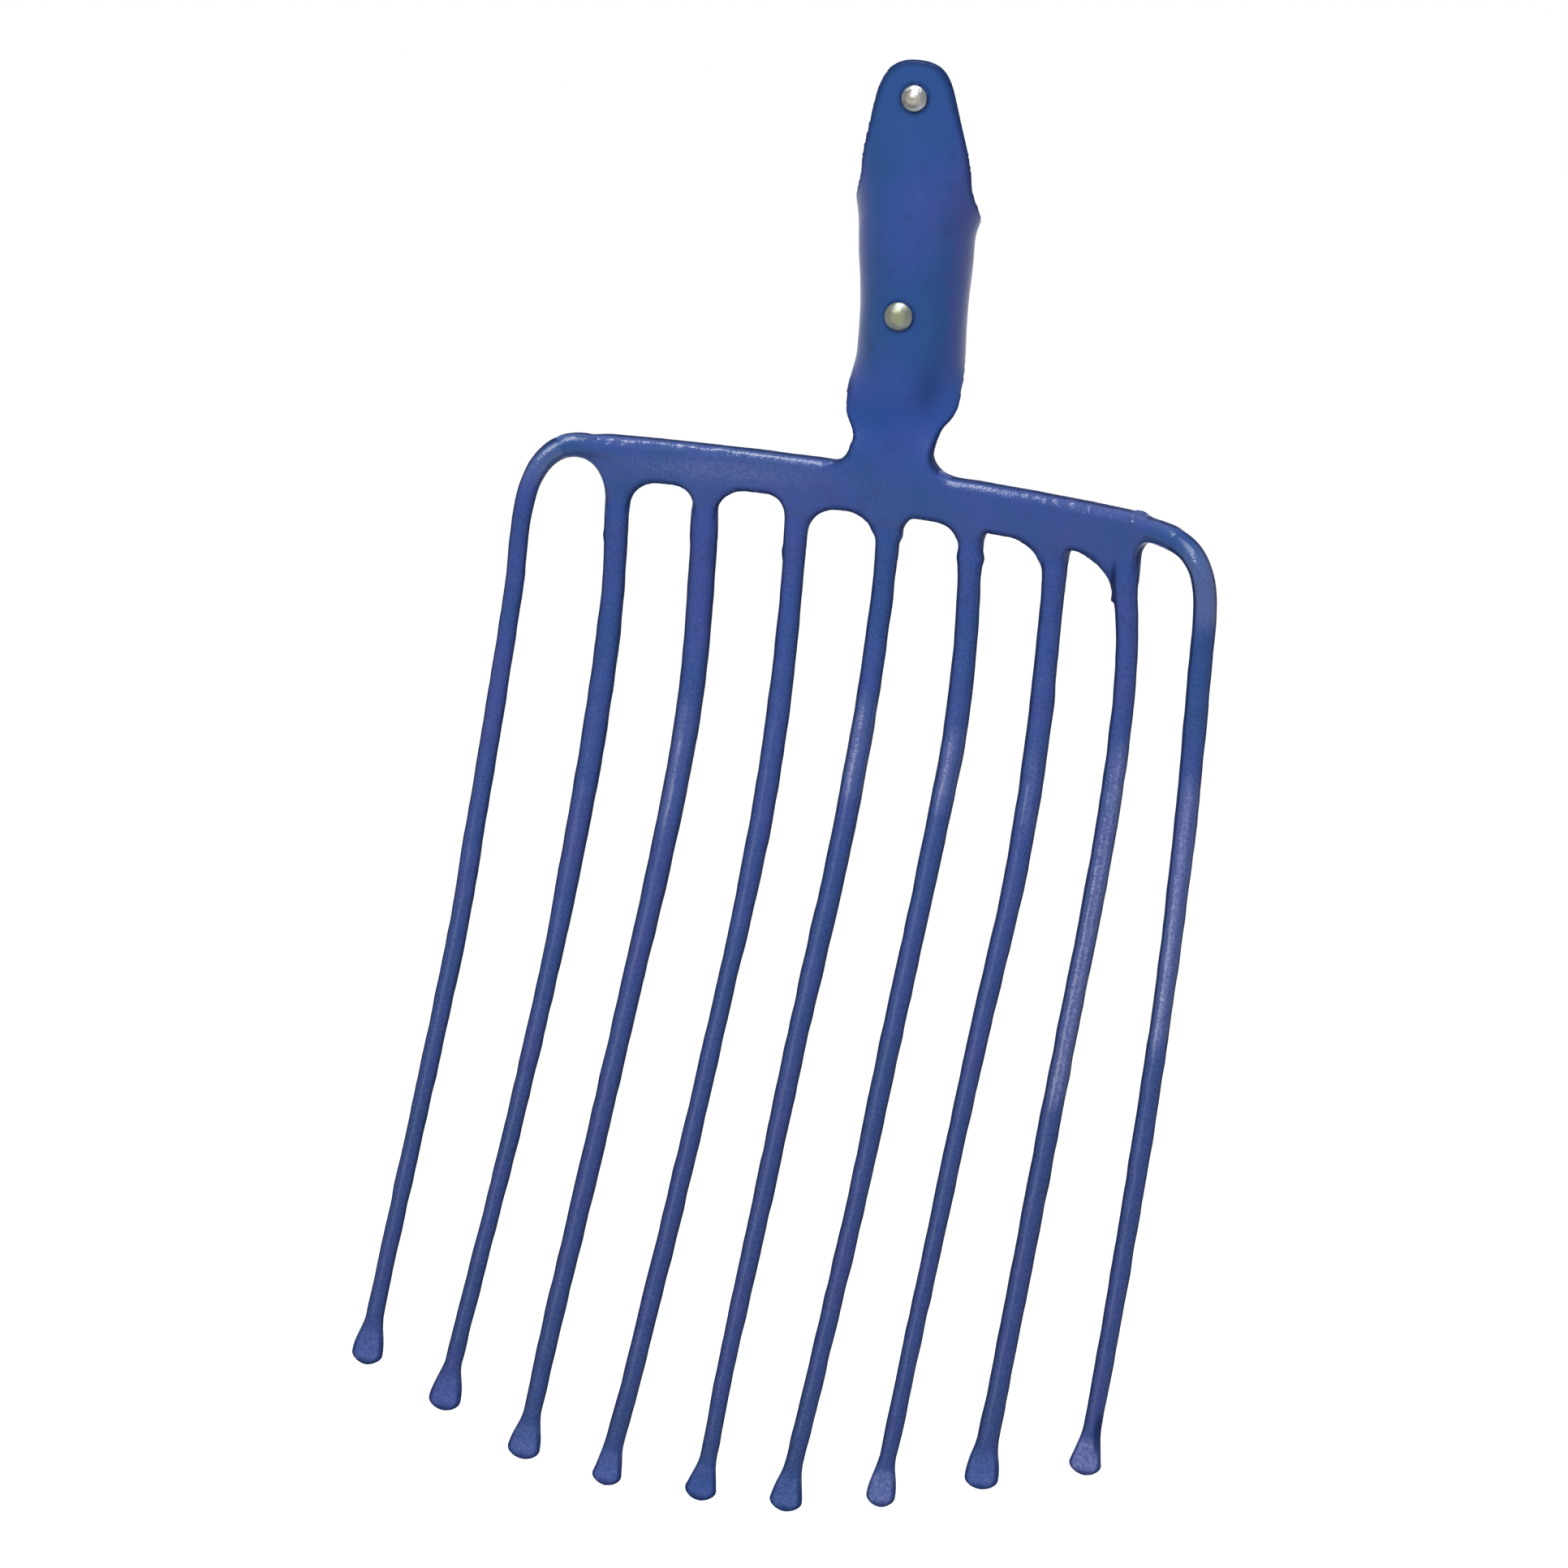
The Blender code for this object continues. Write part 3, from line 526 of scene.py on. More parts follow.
# %% Flat sheet with cuts
SHEET_LOW_Z = -0.016
LEVEL_CUTS = 0.0035
SOCKET_CUTS = 0.0024
CUTS_HALF = 0.066
ROLLED_FROM_Z = 0.0280
BAR_CUTS = 0.0050


def draw_line(name, points, closed):
    """A mesh of points joined in a row, left in edit mode with everything selected."""
    joins = [(number, number + 1) for number in range(len(points) - 1)]
    if closed:
        joins.append((len(points) - 1, 0))
    mesh = bpy.data.meshes.new(name)
    mesh.from_pydata([(x, y, 0.0) for x, y in points], joins, [])
    made = bpy.data.objects.new(name, mesh)
    bpy.context.collection.objects.link(made)
    pick(made)
    bpy.ops.object.mode_set(mode="EDIT")
    bpy.ops.mesh.select_all(action="SELECT")
    return made


def cut_across(axis, place, low_z, high_z):
    """Cuts the sheet along one straight line, between two heights."""
    bpy.ops.mesh.select_all(action="DESELECT")
    sheet = bpy.context.object
    bpy.ops.object.mode_set(mode="OBJECT")
    for face in sheet.data.polygons:
        face.select = low_z < face.center.y < high_z
    bpy.ops.object.mode_set(mode="EDIT")
    normal = (1.0, 0.0, 0.0) if axis == 0 else (0.0, 1.0, 0.0)
    spot = (place, 0.0, 0.0) if axis == 0 else (0.0, place, 0.0)
    bpy.ops.mesh.bisect(plane_co=spot, plane_no=normal, threshold=0.00001)


plate = draw_line("plate", outline, True)
bpy.ops.mesh.remove_doubles(threshold=0.000001)
bpy.ops.mesh.fill()
for z in spread(SHEET_LOW_Z, TONGUE_TOP_Z, LEVEL_CUTS)[1:-1]:
    cut_across(1, z, -1.0, 1.0)
for u in spread(-CUTS_HALF, CUTS_HALF, SOCKET_CUTS):
    cut_across(0, u, ROLLED_FROM_Z, 1.0)
for u in spread(SHEET_LEFT, SHEET_RIGHT, BAR_CUTS)[1:-1]:
    cut_across(0, u, -1.0, ROLLED_FROM_Z)
bpy.ops.object.mode_set(mode="OBJECT")
print("flat sheet:", len(plate.data.polygons), "faces")

# %% [markdown]
# ## The head plate, bent and given its thickness
#
# Every point of the flat sheet is carried to where the bend takes it: a circle's arc round the
# handle above the neck, a shallow dish along the crossbar. A Solidify modifier then gives the sheet
# its thicknesses through a vertex group: 7 mm in the crossbar, 3 mm in the socket, and less again in
# the stubs, which weld metal will cover.

# %% Bend the sheet
BAR_THICK = 0.0070
SHEET_THICK = 0.0030
THIN_FROM_Z = 0.0420
STUB_THINNING = 0.7
STUB_FADE = 0.0080


def face_outwards():
    """Turns all faces of the active object outwards."""
    bpy.ops.object.mode_set(mode="EDIT")
    bpy.ops.mesh.select_all(action="SELECT")
    bpy.ops.mesh.normals_make_consistent(inside=False)
    bpy.ops.object.mode_set(mode="OBJECT")


def finish_with(item, kind, **settings):
    """Gives an object a modifier with these settings and applies it."""
    pick(item)
    modifier = item.modifiers.new(kind.lower(), kind)
    for name, value in settings.items():
        setattr(modifier, name, value)
    bpy.ops.object.modifier_apply(modifier=modifier.name)


def front_y(z):
    """Depth of the plate's middle line: it leans forward up the crossbar, then runs straight."""
    if z < FRONT[0][0]:
        return -math.tan(LEAN) * z
    return through(FRONT, z)


def bend(u, z):
    """Where a point of the flat sheet, u across and z up, lies on the bent plate."""
    roll = through(ROLL, z)
    if roll > 0.0:
        x = math.sin(roll * u) / roll + through(SWAY, z)
        y = (1.0 - math.cos(roll * u)) / roll
    else:
        x, y = u, 0.5 * roll * max(abs(u) - FLAT_HALF, 0.0) ** 2
    tilted = fall(z, BAR_TOP_Z, TILT_FADE)
    return Vector((x, front_y(z) + y, z - math.tan(TILT) * x * tilted)) + DATUM


thick = plate.vertex_groups.new(name="thick_end")
for vert in plate.data.vertices:
    u, z = vert.co.x, vert.co.y
    full = fall(z, BAR_TOP_Z, THIN_FROM_Z - BAR_TOP_Z)
    thick.add([vert.index], full - STUB_THINNING * ease(-z / STUB_FADE), "REPLACE")
    vert.co = bend(u, z)
pick(plate)
face_outwards()
finish_with(plate, "SOLIDIFY", thickness=BAR_THICK, offset=0.0, vertex_group="thick_end",
            thickness_vertex_group=SHEET_THICK / BAR_THICK)
print("bent plate:", [round(size * 1000, 1) for size in plate.dimensions], "mm")

# %% [markdown]
# ## The nine tines, as lines
#
# Each tine is a round bar, drawn out thinner towards its end, where the hammer has spread it into a
# small paddle. All nine follow one bend, backwards a little and then forward, and each wanders
# sideways by a millimetre or two, because it was bent by hand. The two outer bars turn round
# the head's upper corners. The middle lines come first, because the welds follow them too.

# %% Middle lines of the tines
PITCH = 0.0340
LENGTHS = (0.3479, 0.3618, 0.3755, 0.3805, 0.3799, 0.3785, 0.3706, 0.3573, 0.3442)
BEND_ANGLE = math.radians(32.3)
BEND_LENGTH = 0.2165
TIP_EASING = math.radians(6.5)
TIP_EASING_START = 0.300
TIP_EASING_LENGTH = 0.080
# sideways place and width of each bar in millimetres, at these shares of its length
SHARES = (0.03, 0.10, 0.20, 0.35, 0.50, 0.70, 0.90, 0.96, 1.00)
WANDER = (
    (3.0, 1.1, -1.1, -1.8, 0.1, 1.2, 2.0, 2.4, 2.2),
    (1.3, 1.5, 1.1, 1.1, 2.1, 2.3, 1.0, 0.3, -0.1),
    (-1.2, -0.8, 0.2, -0.2, -0.6, -0.3, -0.6, -0.8, -1.4),
    (-0.7, -0.6, 0.1, 0.8, 0.7, 0.7, -0.6, -2.2, -2.8),
    (1.4, 0.7, -0.2, -1.1, -1.8, -1.1, -0.6, -0.3, -1.0),
    (0.4, 1.4, 2.0, 0.5, -0.1, 0.2, -1.3, -2.5, -2.9),
    (0.8, 0.6, 1.2, 1.1, -0.7, -1.4, -1.8, -2.3, -2.2),
    (-3.6, -0.9, 0.1, -0.3, -1.0, -0.7, -0.5, -0.8, -0.5),
    (-3.8, -3.9, -3.3, -1.5, 0.3, 2.0, 2.7, 2.5, 2.1),
)
WIDTHS = (
    (9.2, 7.8, 7.2, 7.4, 7.6, 6.9, 6.4, 6.6, 6.6),
    (9.2, 8.8, 9.4, 9.2, 7.6, 6.7, 6.2, 6.5, 6.5),
    (10.4, 10.5, 9.9, 9.3, 8.3, 7.9, 7.1, 6.6, 6.6),
    (8.8, 8.5, 8.9, 8.6, 7.2, 7.3, 7.0, 6.8, 6.8),
    (8.8, 8.5, 8.7, 8.7, 8.1, 7.4, 6.4, 5.9, 5.9),
    (9.4, 8.9, 9.2, 8.3, 8.0, 7.3, 6.7, 6.6, 6.6),
    (9.4, 8.6, 9.2, 8.4, 7.6, 6.8, 6.3, 5.8, 5.8),
    (9.0, 8.4, 8.3, 8.0, 7.9, 7.9, 7.5, 7.9, 7.9),
    (8.9, 8.6, 8.7, 8.4, 7.6, 7.4, 6.6, 6.4, 6.4),
)
ROOT_RISE = 0.0060
CORNER_SINK = 0.0080
CORNER_DROP = 0.030
CORNERS = {0: ((-0.1267, 0.0236), (-0.1342, 0.0074)), 8: ((0.1319, 0.0093), (0.1336, -0.0050))}
STEP = 0.001
DISH_FADE = 5.2
end_z = (BAR_TOP_Z - BAR_END_DROP + BAR_END_LOW_Z) / 2


def dish_y(across, depth):
    """How far the row of tines curves forward at its ends; the dish fades downwards."""
    curve = -1.0 / DISH_RADIUS + 2.0 * DISH_FADE * depth
    return 0.5 * curve * max(abs(across) - FLAT_HALF, 0.0) ** 2


def lean_angle(s):
    """How far forward a tine leans at the length s from its root."""
    share = min(s / BEND_LENGTH, 1.0)
    bent = -LEAN + (BEND_ANGLE + LEAN) * (1.0 - (1.0 - share) ** 2)
    return bent - TIP_EASING * rise(s, TIP_EASING_START, TIP_EASING_LENGTH)


def hanging_line(index):
    """Points down the middle of a tine, from the level where the arches end to its tip."""
    steps = round(LENGTHS[index] / STEP)
    across = (index - 4) * PITCH
    wander = tuple(zip(SHARES, WANDER[index]))
    depth = forward = 0.0
    points = []
    for step in range(steps + 1):
        if step:
            angle = lean_angle(LENGTHS[index] * (step - 0.5) / steps)
            depth += math.cos(angle) * LENGTHS[index] / steps
            forward += math.sin(angle) * LENGTHS[index] / steps
        x = across + through(wander, step / steps) / 1000.0
        points.append(Vector((x, dish_y(across, depth) - forward, -depth)))
    return points


def corner_line(index, hanging, foot):
    """Points round the head's upper corner, from inside the crossbar's end to the hanging part."""
    end_u = BAR_RIGHT if index else BAR_LEFT
    start = bend(end_u, end_z) - DATUM
    path = cubic(((start.x, start.z), *CORNERS[index], (foot.x, foot.z)), 60)
    points = []
    for x, z in path[:-1]:
        share = (x - start.x) / (foot.x - start.x)
        nominal = x + ((index - 4) * PITCH - foot.x) * share
        depth = max(-z, 0.0)
        lean = -math.tan(LEAN) * z
        if z <= 0.0:
            level = next(point for point in hanging if -point.z >= depth)
            lean = level.y - dish_y((index - 4) * PITCH, -level.z)
        points.append(Vector((x, dish_y(nominal, depth) + lean, z)))
    inside = (points[0] - points[1]).normalized()
    return [points[0] + inside * CORNER_SINK, points[0] + inside * CORNER_SINK / 2] + points


def middle_line(index):
    """The whole middle line of one tine, carried on a little into the metal that it is welded to."""
    line = hanging_line(index)
    if index in CORNERS:
        kept = [point for point in line if -point.z >= CORNER_DROP]
        line = corner_line(index, line, kept[0]) + kept
    else:
        upward = (line[0] - line[1]).normalized()
        line = [line[0] + upward * ROOT_RISE, line[0] + upward * ROOT_RISE / 2] + line
    return [point + DATUM for point in line]


lines = [middle_line(index) for index in range(len(LENGTHS))]
totals = [sum((second - first).length for first, second in zip(line, line[1:])) for line in lines]
print("lengths of the bars:", [round(total * 1000) for total in totals], "mm")

# %% [markdown]
# A paddle is the bar's end beaten out: over its last 18 mm the bar fans out to two corners about
# 12 mm apart, and ends in a shallow arc. What it gains in width it loses in thickness, and its
# section changes from round to a flat oblong. Some paddles swell early and are round, others widen
# in straight lines.

# %% Bars with hammered ends
SIDES = 24
SQUARING = 0.45
RING_STEP = 0.002
FAN_STEP = 0.0008
FAN_START = 0.0180
FAN_CORNER = 0.0042
# distance from the tip, and how much of the way from the bar's width to the paddle's full width
FAN_PLACES = (FAN_CORNER, 0.0060, 0.0080, 0.0100, 0.0120, 0.0140, 0.0160, FAN_START)
FAN_STRAIGHT = tuple(zip(FAN_PLACES, (1.0, 0.80, 0.61, 0.43, 0.26, 0.12, 0.04, 0.0)))
FAN_ROUND = tuple(zip(FAN_PLACES, (1.0, 0.96, 0.83, 0.66, 0.47, 0.26, 0.10, 0.0)))
# distance from the tip, and part of the paddle's full width
FAN_END = (
    (0.0000, 0.12), (0.0002, 0.30), (0.0007, 0.54), (0.0012, 0.67), (0.0017, 0.79), (0.0022, 0.88),
    (0.0032, 0.98), (FAN_CORNER, 1.0),
)
FAN_FLAT = 0.0060
# distance from the tip, and half of the paddle's thickness
FAN_THICK = ((0.0000, 0.0008), (0.0012, 0.0012), (0.0050, 0.0014), (0.0100, 0.0021), (FAN_START, 0.0030))
FANS_MM = (11.8, 12.3, 12.4, 11.0, 11.7, 11.9, 10.8, 12.4, 11.6)
ROUND_FANS = (1.0, 1.0, 0.7, 0.1, 0.0, 0.4, 1.0, 1.0, 0.2)
ROOT_SHARE = 0.50
CORNER_SHARE = 0.80
ROOT_WIDE_SHARE = 0.66
ROOT_GROWTH = 0.0190
CORNER_GROWTH = 0.0130
# the weld metal covers each bar's first part, where the bar itself is thinner by this share
COVERED = 0.12
COVER_FADE = (0.0160, 0.0060)


def between(stations, place):
    """Straight lines through (place, value) stations."""
    for (start, low), (end, high) in zip(stations, stations[1:]):
        if place <= end:
            return low + (high - low) * max(place - start, 0.0) / (end - start)
    return stations[-1][1]


def root_shares(index, s):
    """How far the metal has grown to the bar's full width and depth at the length s from its start."""
    if index in CORNERS:
        grown = CORNER_SHARE + (1.0 - CORNER_SHARE) * ease(s / CORNER_GROWTH)
        return grown, grown
    wide = ROOT_WIDE_SHARE + (1.0 - ROOT_WIDE_SHARE) * ease(2.0 * s / ROOT_GROWTH)
    return wide, ROOT_SHARE + (1.0 - ROOT_SHARE) * ease(s / ROOT_GROWTH)


def half_width(index, s):
    """Half of a bar's width at the length s from its start, before its root and paddle are shaped."""
    return through(tuple(zip(SHARES, WIDTHS[index])), s / totals[index]) / 2000.0


def bar_section(index, s):
    """Half width, half thickness and squareness of a bar at the length s from its start."""
    width = half_width(index, s)
    left = totals[index] - s
    if left > FAN_START:
        wide, deep = root_shares(index, s)
        under = COVERED * fall(s, *COVER_FADE)
        return width * (wide - under), width * (deep - under), 0.0
    fan = FANS_MM[index] / 2000.0
    if left < FAN_CORNER:
        half = fan * between(FAN_END, left)
    else:
        part = ROUND_FANS[index]
        grown = part * between(FAN_ROUND, left) + (1.0 - part) * between(FAN_STRAIGHT, left)
        half = width + (fan - width) * grown
    flat = fall(left, FAN_FLAT, FAN_START - FAN_FLAT)
    thick = width + (through(FAN_THICK, left) - width) * flat
    return half, thick, flat


def ring_lengths(total):
    """Places of the rings along a bar: 2 mm apart, and closer in the paddle."""
    places = spread(0.0, total - FAN_START, RING_STEP)
    places += spread(total - FAN_START, total - FAN_CORNER, FAN_STEP)[1:]
    places += [total - station[0] for station in reversed(FAN_END[:-1])]
    return places


def tube(name, line, places, sections):
    """A cylinder cut into rings, each ring set across the line at its place, with its own section."""
    travelled = [0.0]
    for first, second in zip(line, line[1:]):
        travelled.append(travelled[-1] + (second - first).length)
    spots = []
    step = 0
    for s in places:
        # the stretch of the line that holds this place
        while step < len(line) - 2 and travelled[step + 1] < s:
            step += 1
        share = (s - travelled[step]) / (travelled[step + 1] - travelled[step])
        spots.append(line[step].lerp(line[step + 1], share))
    bpy.ops.object.select_all(action="DESELECT")
    bpy.ops.mesh.primitive_cylinder_add(vertices=SIDES, radius=1.0, depth=1.0, end_fill_type="NGON")
    made = bpy.context.object
    made.name = name
    bpy.ops.object.mode_set(mode="EDIT")
    bpy.ops.mesh.select_mode(type="EDGE")
    bpy.ops.mesh.select_all(action="DESELECT")
    bpy.ops.object.mode_set(mode="OBJECT")
    for edge in made.data.edges:
        a, b = (made.data.vertices[number].co for number in edge.vertices)
        edge.select = abs(a.z - b.z) > 0.5
    bpy.ops.object.mode_set(mode="EDIT")
    bpy.ops.mesh.subdivide_edgering(number_cuts=len(places) - 2, interpolation="LINEAR", smoothness=0.0)
    bpy.ops.mesh.select_mode(type="VERT")
    bpy.ops.object.mode_set(mode="OBJECT")
    if len(made.data.vertices) != SIDES * len(places):
        raise RuntimeError("%s has %d points, not %d rings" % (name, len(made.data.vertices), len(places)))
    rings = len(places) - 1
    where = []
    for vert in made.data.vertices:
        ring = round((0.5 - vert.co.z) * rings)
        angle = math.atan2(vert.co.y, vert.co.x)
        before, after = spots[max(ring - 1, 0)], spots[min(ring + 1, rings)]
        along = (after - before).normalized()
        outward = Vector((-along.z, 0.0, along.x)).normalized()
        front = outward.cross(along)
        half, deep, square = sections[ring]
        power = 1.0 - SQUARING * square
        across = math.copysign(abs(math.cos(angle)) ** power, math.cos(angle)) * half
        depth = math.copysign(abs(math.sin(angle)) ** power, math.sin(angle)) * deep
        vert.co = spots[ring] + outward * across + front * depth
        where.append((places[ring], angle, square))
    face_outwards()
    return made, where


print("rings along a bar:", len(ring_lengths(totals[4])))

# %% [markdown]
# ## Weld metal
#
# Each bar is butt-welded to its stub, and the two outer bars to the crossbar's ends. Under the paint
# a weld is a smooth swelling that runs from the plate on to the bar. A short tube of weld metal is laid
# over each bar's first part and joined to the plate. A voxel Remesh melts them into one skin, and
# Smooth modifiers soften it, much more where a vertex group marks the joints. Smoothing draws the
# skin in a little, so a Displace modifier pushes it out again.

# %% Weld metal over the roots
WELD_OVER = 0.00010
WELD_STEP = 0.001
WELD_END = 0.0260
WELD_END_FADE = 0.0060
WELD_END_DROP = 0.14
# half sizes and place of the one rounded lump at the crossbar's right end
WELD_RISE = (0.0048, 0.0042, 0.0037)
WELD_RISE_U = 0.1020
WELD_RISE_Z = 0.0172


def weld_section(index, s):
    """Half width and depth of the weld metal round a bar, sinking into the bar at its end."""
    width = half_width(index, s)
    wide, deep = root_shares(index, s)
    sunk = WELD_END_DROP * ease((s - WELD_END + WELD_END_FADE) / WELD_END_FADE)
    return width * (wide - sunk) + WELD_OVER, width * (deep - sunk) + WELD_OVER, 0.0


welds = []
for index, line in enumerate(lines):
    places = spread(0.0, WELD_END, WELD_STEP)
    weld, _ = tube("weld_metal", line, places, [weld_section(index, s) for s in places])
    welds.append(weld)
bpy.ops.mesh.primitive_ico_sphere_add(subdivisions=4, radius=1.0, location=bend(WELD_RISE_U, WELD_RISE_Z))
welds.append(bpy.context.object)
bpy.ops.object.mode_set(mode="EDIT")
bpy.ops.transform.resize(value=WELD_RISE)
bpy.ops.object.mode_set(mode="OBJECT")
print("weld lumps:", len(welds))

# %% Melt the plate and its welds into one skin
SKIN_VOXEL = 0.00080
SKIN_SMOOTHING = 3
SKIN_SWELL = 0.00022
JOINT_SMOOTHING = 14
JOINT_FADE = (0.6, 0.4)
# middle and reach of each joint, in millimetres on the datum
JOINTS = [(1000.0 * x, -6.0, 15.0) for x in STUBS_X] + [(-108.5, 15.0, 11.0), (106.2, 12.0, 11.0)]

pick(plate, *welds)
bpy.ops.object.join()
plate.vertex_groups.clear()
finish_with(plate, "REMESH", mode="VOXEL", voxel_size=SKIN_VOXEL, use_smooth_shade=True)
finish_with(plate, "SMOOTH", factor=0.5, iterations=SKIN_SMOOTHING)
joints = plate.vertex_groups.new(name="joints")
for vert in plate.data.vertices:
    spot = vert.co - DATUM
    near = min(math.hypot(1000.0 * spot.x - x, 1000.0 * spot.z - z) / reach for x, z, reach in JOINTS)
    joints.add([vert.index], fall(near, *JOINT_FADE), "REPLACE")
finish_with(plate, "SMOOTH", factor=0.5, iterations=JOINT_SMOOTHING, vertex_group="joints")
finish_with(plate, "DISPLACE", mid_level=0.0, strength=SKIN_SWELL)
plate.data.materials.clear()
plate.data.materials.append(plate_paint)
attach(plate, "root")
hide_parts("head_plate")
print("plate skin:", len(plate.data.polygons), "faces")

# %% [markdown]
# At some roots a drop of weld metal stands out sideways. Each drop pushes the surface outwards round
# one place on the datum. The same places are used on the plate and on the bars, so a drop runs on
# from one to the other.

# %% Drops of weld metal
# across and up on the datum, and how far each stands out, in millimetres
WELD_DROPS = (
    (-105.0, -15.2, 0.4), (-38.9, -16.4, 0.55), (-3.2, -3.7, 0.8), (6.4, -5.6, 0.9), (30.2, -10.5, 0.4),
    (39.2, -10.8, 0.7), (64.2, -6.0, 0.7), (94.0, -18.3, 0.45), (102.4, 9.1, 0.5),
)
DROP_REACH = 0.0036


def weld_drop(spot):
    """How far the weld metal stands out at a spot measured from the datum."""
    out = 0.0
    for x, z, height in WELD_DROPS:
        away = math.hypot(spot.x - x / 1000.0, spot.z - z / 1000.0) / DROP_REACH
        if away < 1.0:
            out = max(out, height / 1000.0 * fall(away, 0.0, 1.0))
    return out


print("weld drops:", len(WELD_DROPS))

# %% [markdown]
# Up to here the skin is too even. A forged plate is never quite flat, and enamel gathers in beads along
# an upper edge. Each point is moved a little along its own normal by noise: long low waves all over,
# short ones along the crossbar's top. In the same pass each point learns its four numbers for the
# paint. It is darkened with painted shade on a cut edge, near the outline, round a rivet, in a hollow,
# on the crossbar's upper face and on a bar's flank. Its colour is shifted on the socket, with a painted
# sheen at the sides and a painted shade left of the middle. It is glossy along the crossbar's top and
# dull in the neck, and pale specks show on the stubs, and as painted glints in one strip along the
# crossbar's upper left.

# %% Marks of forge, and painted shade and sheen
WAVE_LENGTH = 0.0110
WAVE_HEIGHT = 0.00010
BEAD_LENGTH = 0.0030
BEAD_HEIGHT = 0.00042
BEAD_TOP = 0.0050
PLAIN_HALF = 0.0440
TOP_ROUNDING = 0.0032
ROUNDING_START = 0.0205
# how closely the outline is followed, where it stops, and how wide the line of painted shade along it is
LINE_STEP = 0.0003
LINE_LOW_Z = -0.0080
LINE_MARGIN = 0.0012
LINE_WIDTH = 0.0024
TONGUE_LINE_WIDTH = 0.0034
# the painted shade on the bars' flanks lies a little round from the sides, as it shows in the photograph
FLANK_TURN = 0.28
FLANK_SHADE = 0.92
# how dark the painted shade is along the sheet's outline and on its cut edges
LINE_SHADE = 0.92
CUT_SHADE = 0.9
BLOOM = 0.20
BAR_BLOOM = 0.06
STUB_BLOOM_FADE = 0.012
# marks on the front: their middle across and up on the datum, and their half widths across and up
# a strip of pale specks along the crossbar's upper left, painted glints
GLINT_STRIP = (-0.0620, 0.0135, 0.0340, 0.0045)
GLINT_STRIP_SPECKS = 0.42
NECK = (0.0, 0.0360, 0.0300, 0.0130)
NECK_DULLING = 0.34
# painted shade: a hollow low on the socket's right, and the step in its left shoulder
HOLLOW = (0.0125, 0.0505, 0.0048, 0.0088)
STEP_MARK = (-0.0192, 0.0460, 0.0018, 0.0055)
PATCH = (-0.0550, 0.0160, 0.0080, 0.0045)
PATCH_GRAIN = 0.0022
PATCH_SHIFT = 0.6
PATCH_HEIGHT = 0.00016
# a small round mark: its middle across and up, its radius and how far it stands out
SPOT_MARK = (0.0790, 0.0120, 0.0022, 0.00035)
# the socket's painted sheen, violet at its sides, and its painted shade, a greener band left of its middle
BAND_X = -0.0115
BAND_HALF = 0.0060
SIDE_SHIFT = 0.20
BAND_SHIFT = 0.10
SOCKET_SHIFT = 0.09
RIVET_HEIGHTS = (0.1585, 0.0773)
# a ring of painted shadow round each rivet on the plate, between these radii
RING_INNER = 0.0052
RING_OUTER = 0.0071


def point_numbers(mesh, *names):
    """Gives every point of a mesh these numbers. All are made before the first is fetched."""
    for name in names:
        if mesh.attributes.get(name) is None:
            mesh.attributes.new(name, "FLOAT", "POINT")
    return [mesh.attributes[name].data for name in names]


def flank(across, behind):
    """From -1 on a bar's left flank, dark with painted shade, to 1 on its right one."""
    return across * math.cos(FLANK_TURN) + behind * math.sin(FLANK_TURN)


def flank_shade(sideways):
    """How dark a round bar is painted on its flanks, as painted shade."""
    return FLANK_SHADE * rise(abs(sideways), 0.70, 0.22)


def socket_sheen_band(spot):
    """How far the colour is shifted on the socket: a painted sheen, violet, at its sides, and a painted
    shade, greener, left of its middle.
    """
    side = rise(abs(spot.x), 0.0150, 0.0040)
    band = fall(abs(spot.x - BAND_X), 0.0, BAND_HALF)
    return rise(spot.z, 0.045, 0.020) * (SIDE_SHIFT * side - BAND_SHIFT * band - SOCKET_SHIFT)


def blot(spot, x, z, wide, tall):
    """1 at the middle of a mark, fading away round it."""
    return math.exp(-((spot.x - x) / wide) ** 2 - ((spot.z - z) / tall) ** 2)


def bar_top(spot):
    """Height of the crossbar's upper edge at a spot, a little askew to the handle."""
    return BAR_TOP_Z - math.tan(TILT) * spot.x


def flat_place(spot):
    """Where a point of the bent plate lay on the flat sheet."""
    roll = through(ROLL, spot.z)
    if roll > 1.0:
        angle = math.atan2(spot.x - through(SWAY, spot.z), 1.0 / roll - (spot.y - front_y(spot.z)))
        return Vector((angle / roll, spot.z, 0.0))
    tilted = fall(spot.z, BAR_TOP_Z, TILT_FADE)
    return Vector((spot.x, spot.z + math.tan(TILT) * spot.x * tilted, 0.0))


def round_top(spot):
    """Rounds the crossbar's upper front edge: the corner is drawn in to a quarter circle."""
    radius = TOP_ROUNDING * rise(abs(spot.x), ROUNDING_START, 0.005)
    below = bar_top(spot) - spot.z
    behind = spot.y - (bend(spot.x, BAR_TOP_Z).y - DATUM.y - BAR_THICK / 2)
    if radius <= 0.0 or spot.x < BAR_LEFT or spot.x > BAR_RIGHT:
        return spot
    if not -0.001 < below < radius or not -0.001 < behind < radius:
        return spot
    away = math.hypot(below - radius, behind - radius)
    if away <= radius:
        return spot
    pull = 1.0 - radius / away
    return spot + Vector((0.0, (radius - behind) * pull, (below - radius) * pull))


def sheet_facing(spot, normal):
    """1 where a point of the plate faces straight out of the sheet, 0 on a cut edge."""
    roll = through(ROLL, spot.z)
    if roll <= 1.0:
        return abs(normal.y)
    outward = Vector((spot.x, spot.y - front_y(spot.z) - 1.0 / roll, 0.0)).normalized()
    return abs(normal.dot(outward))


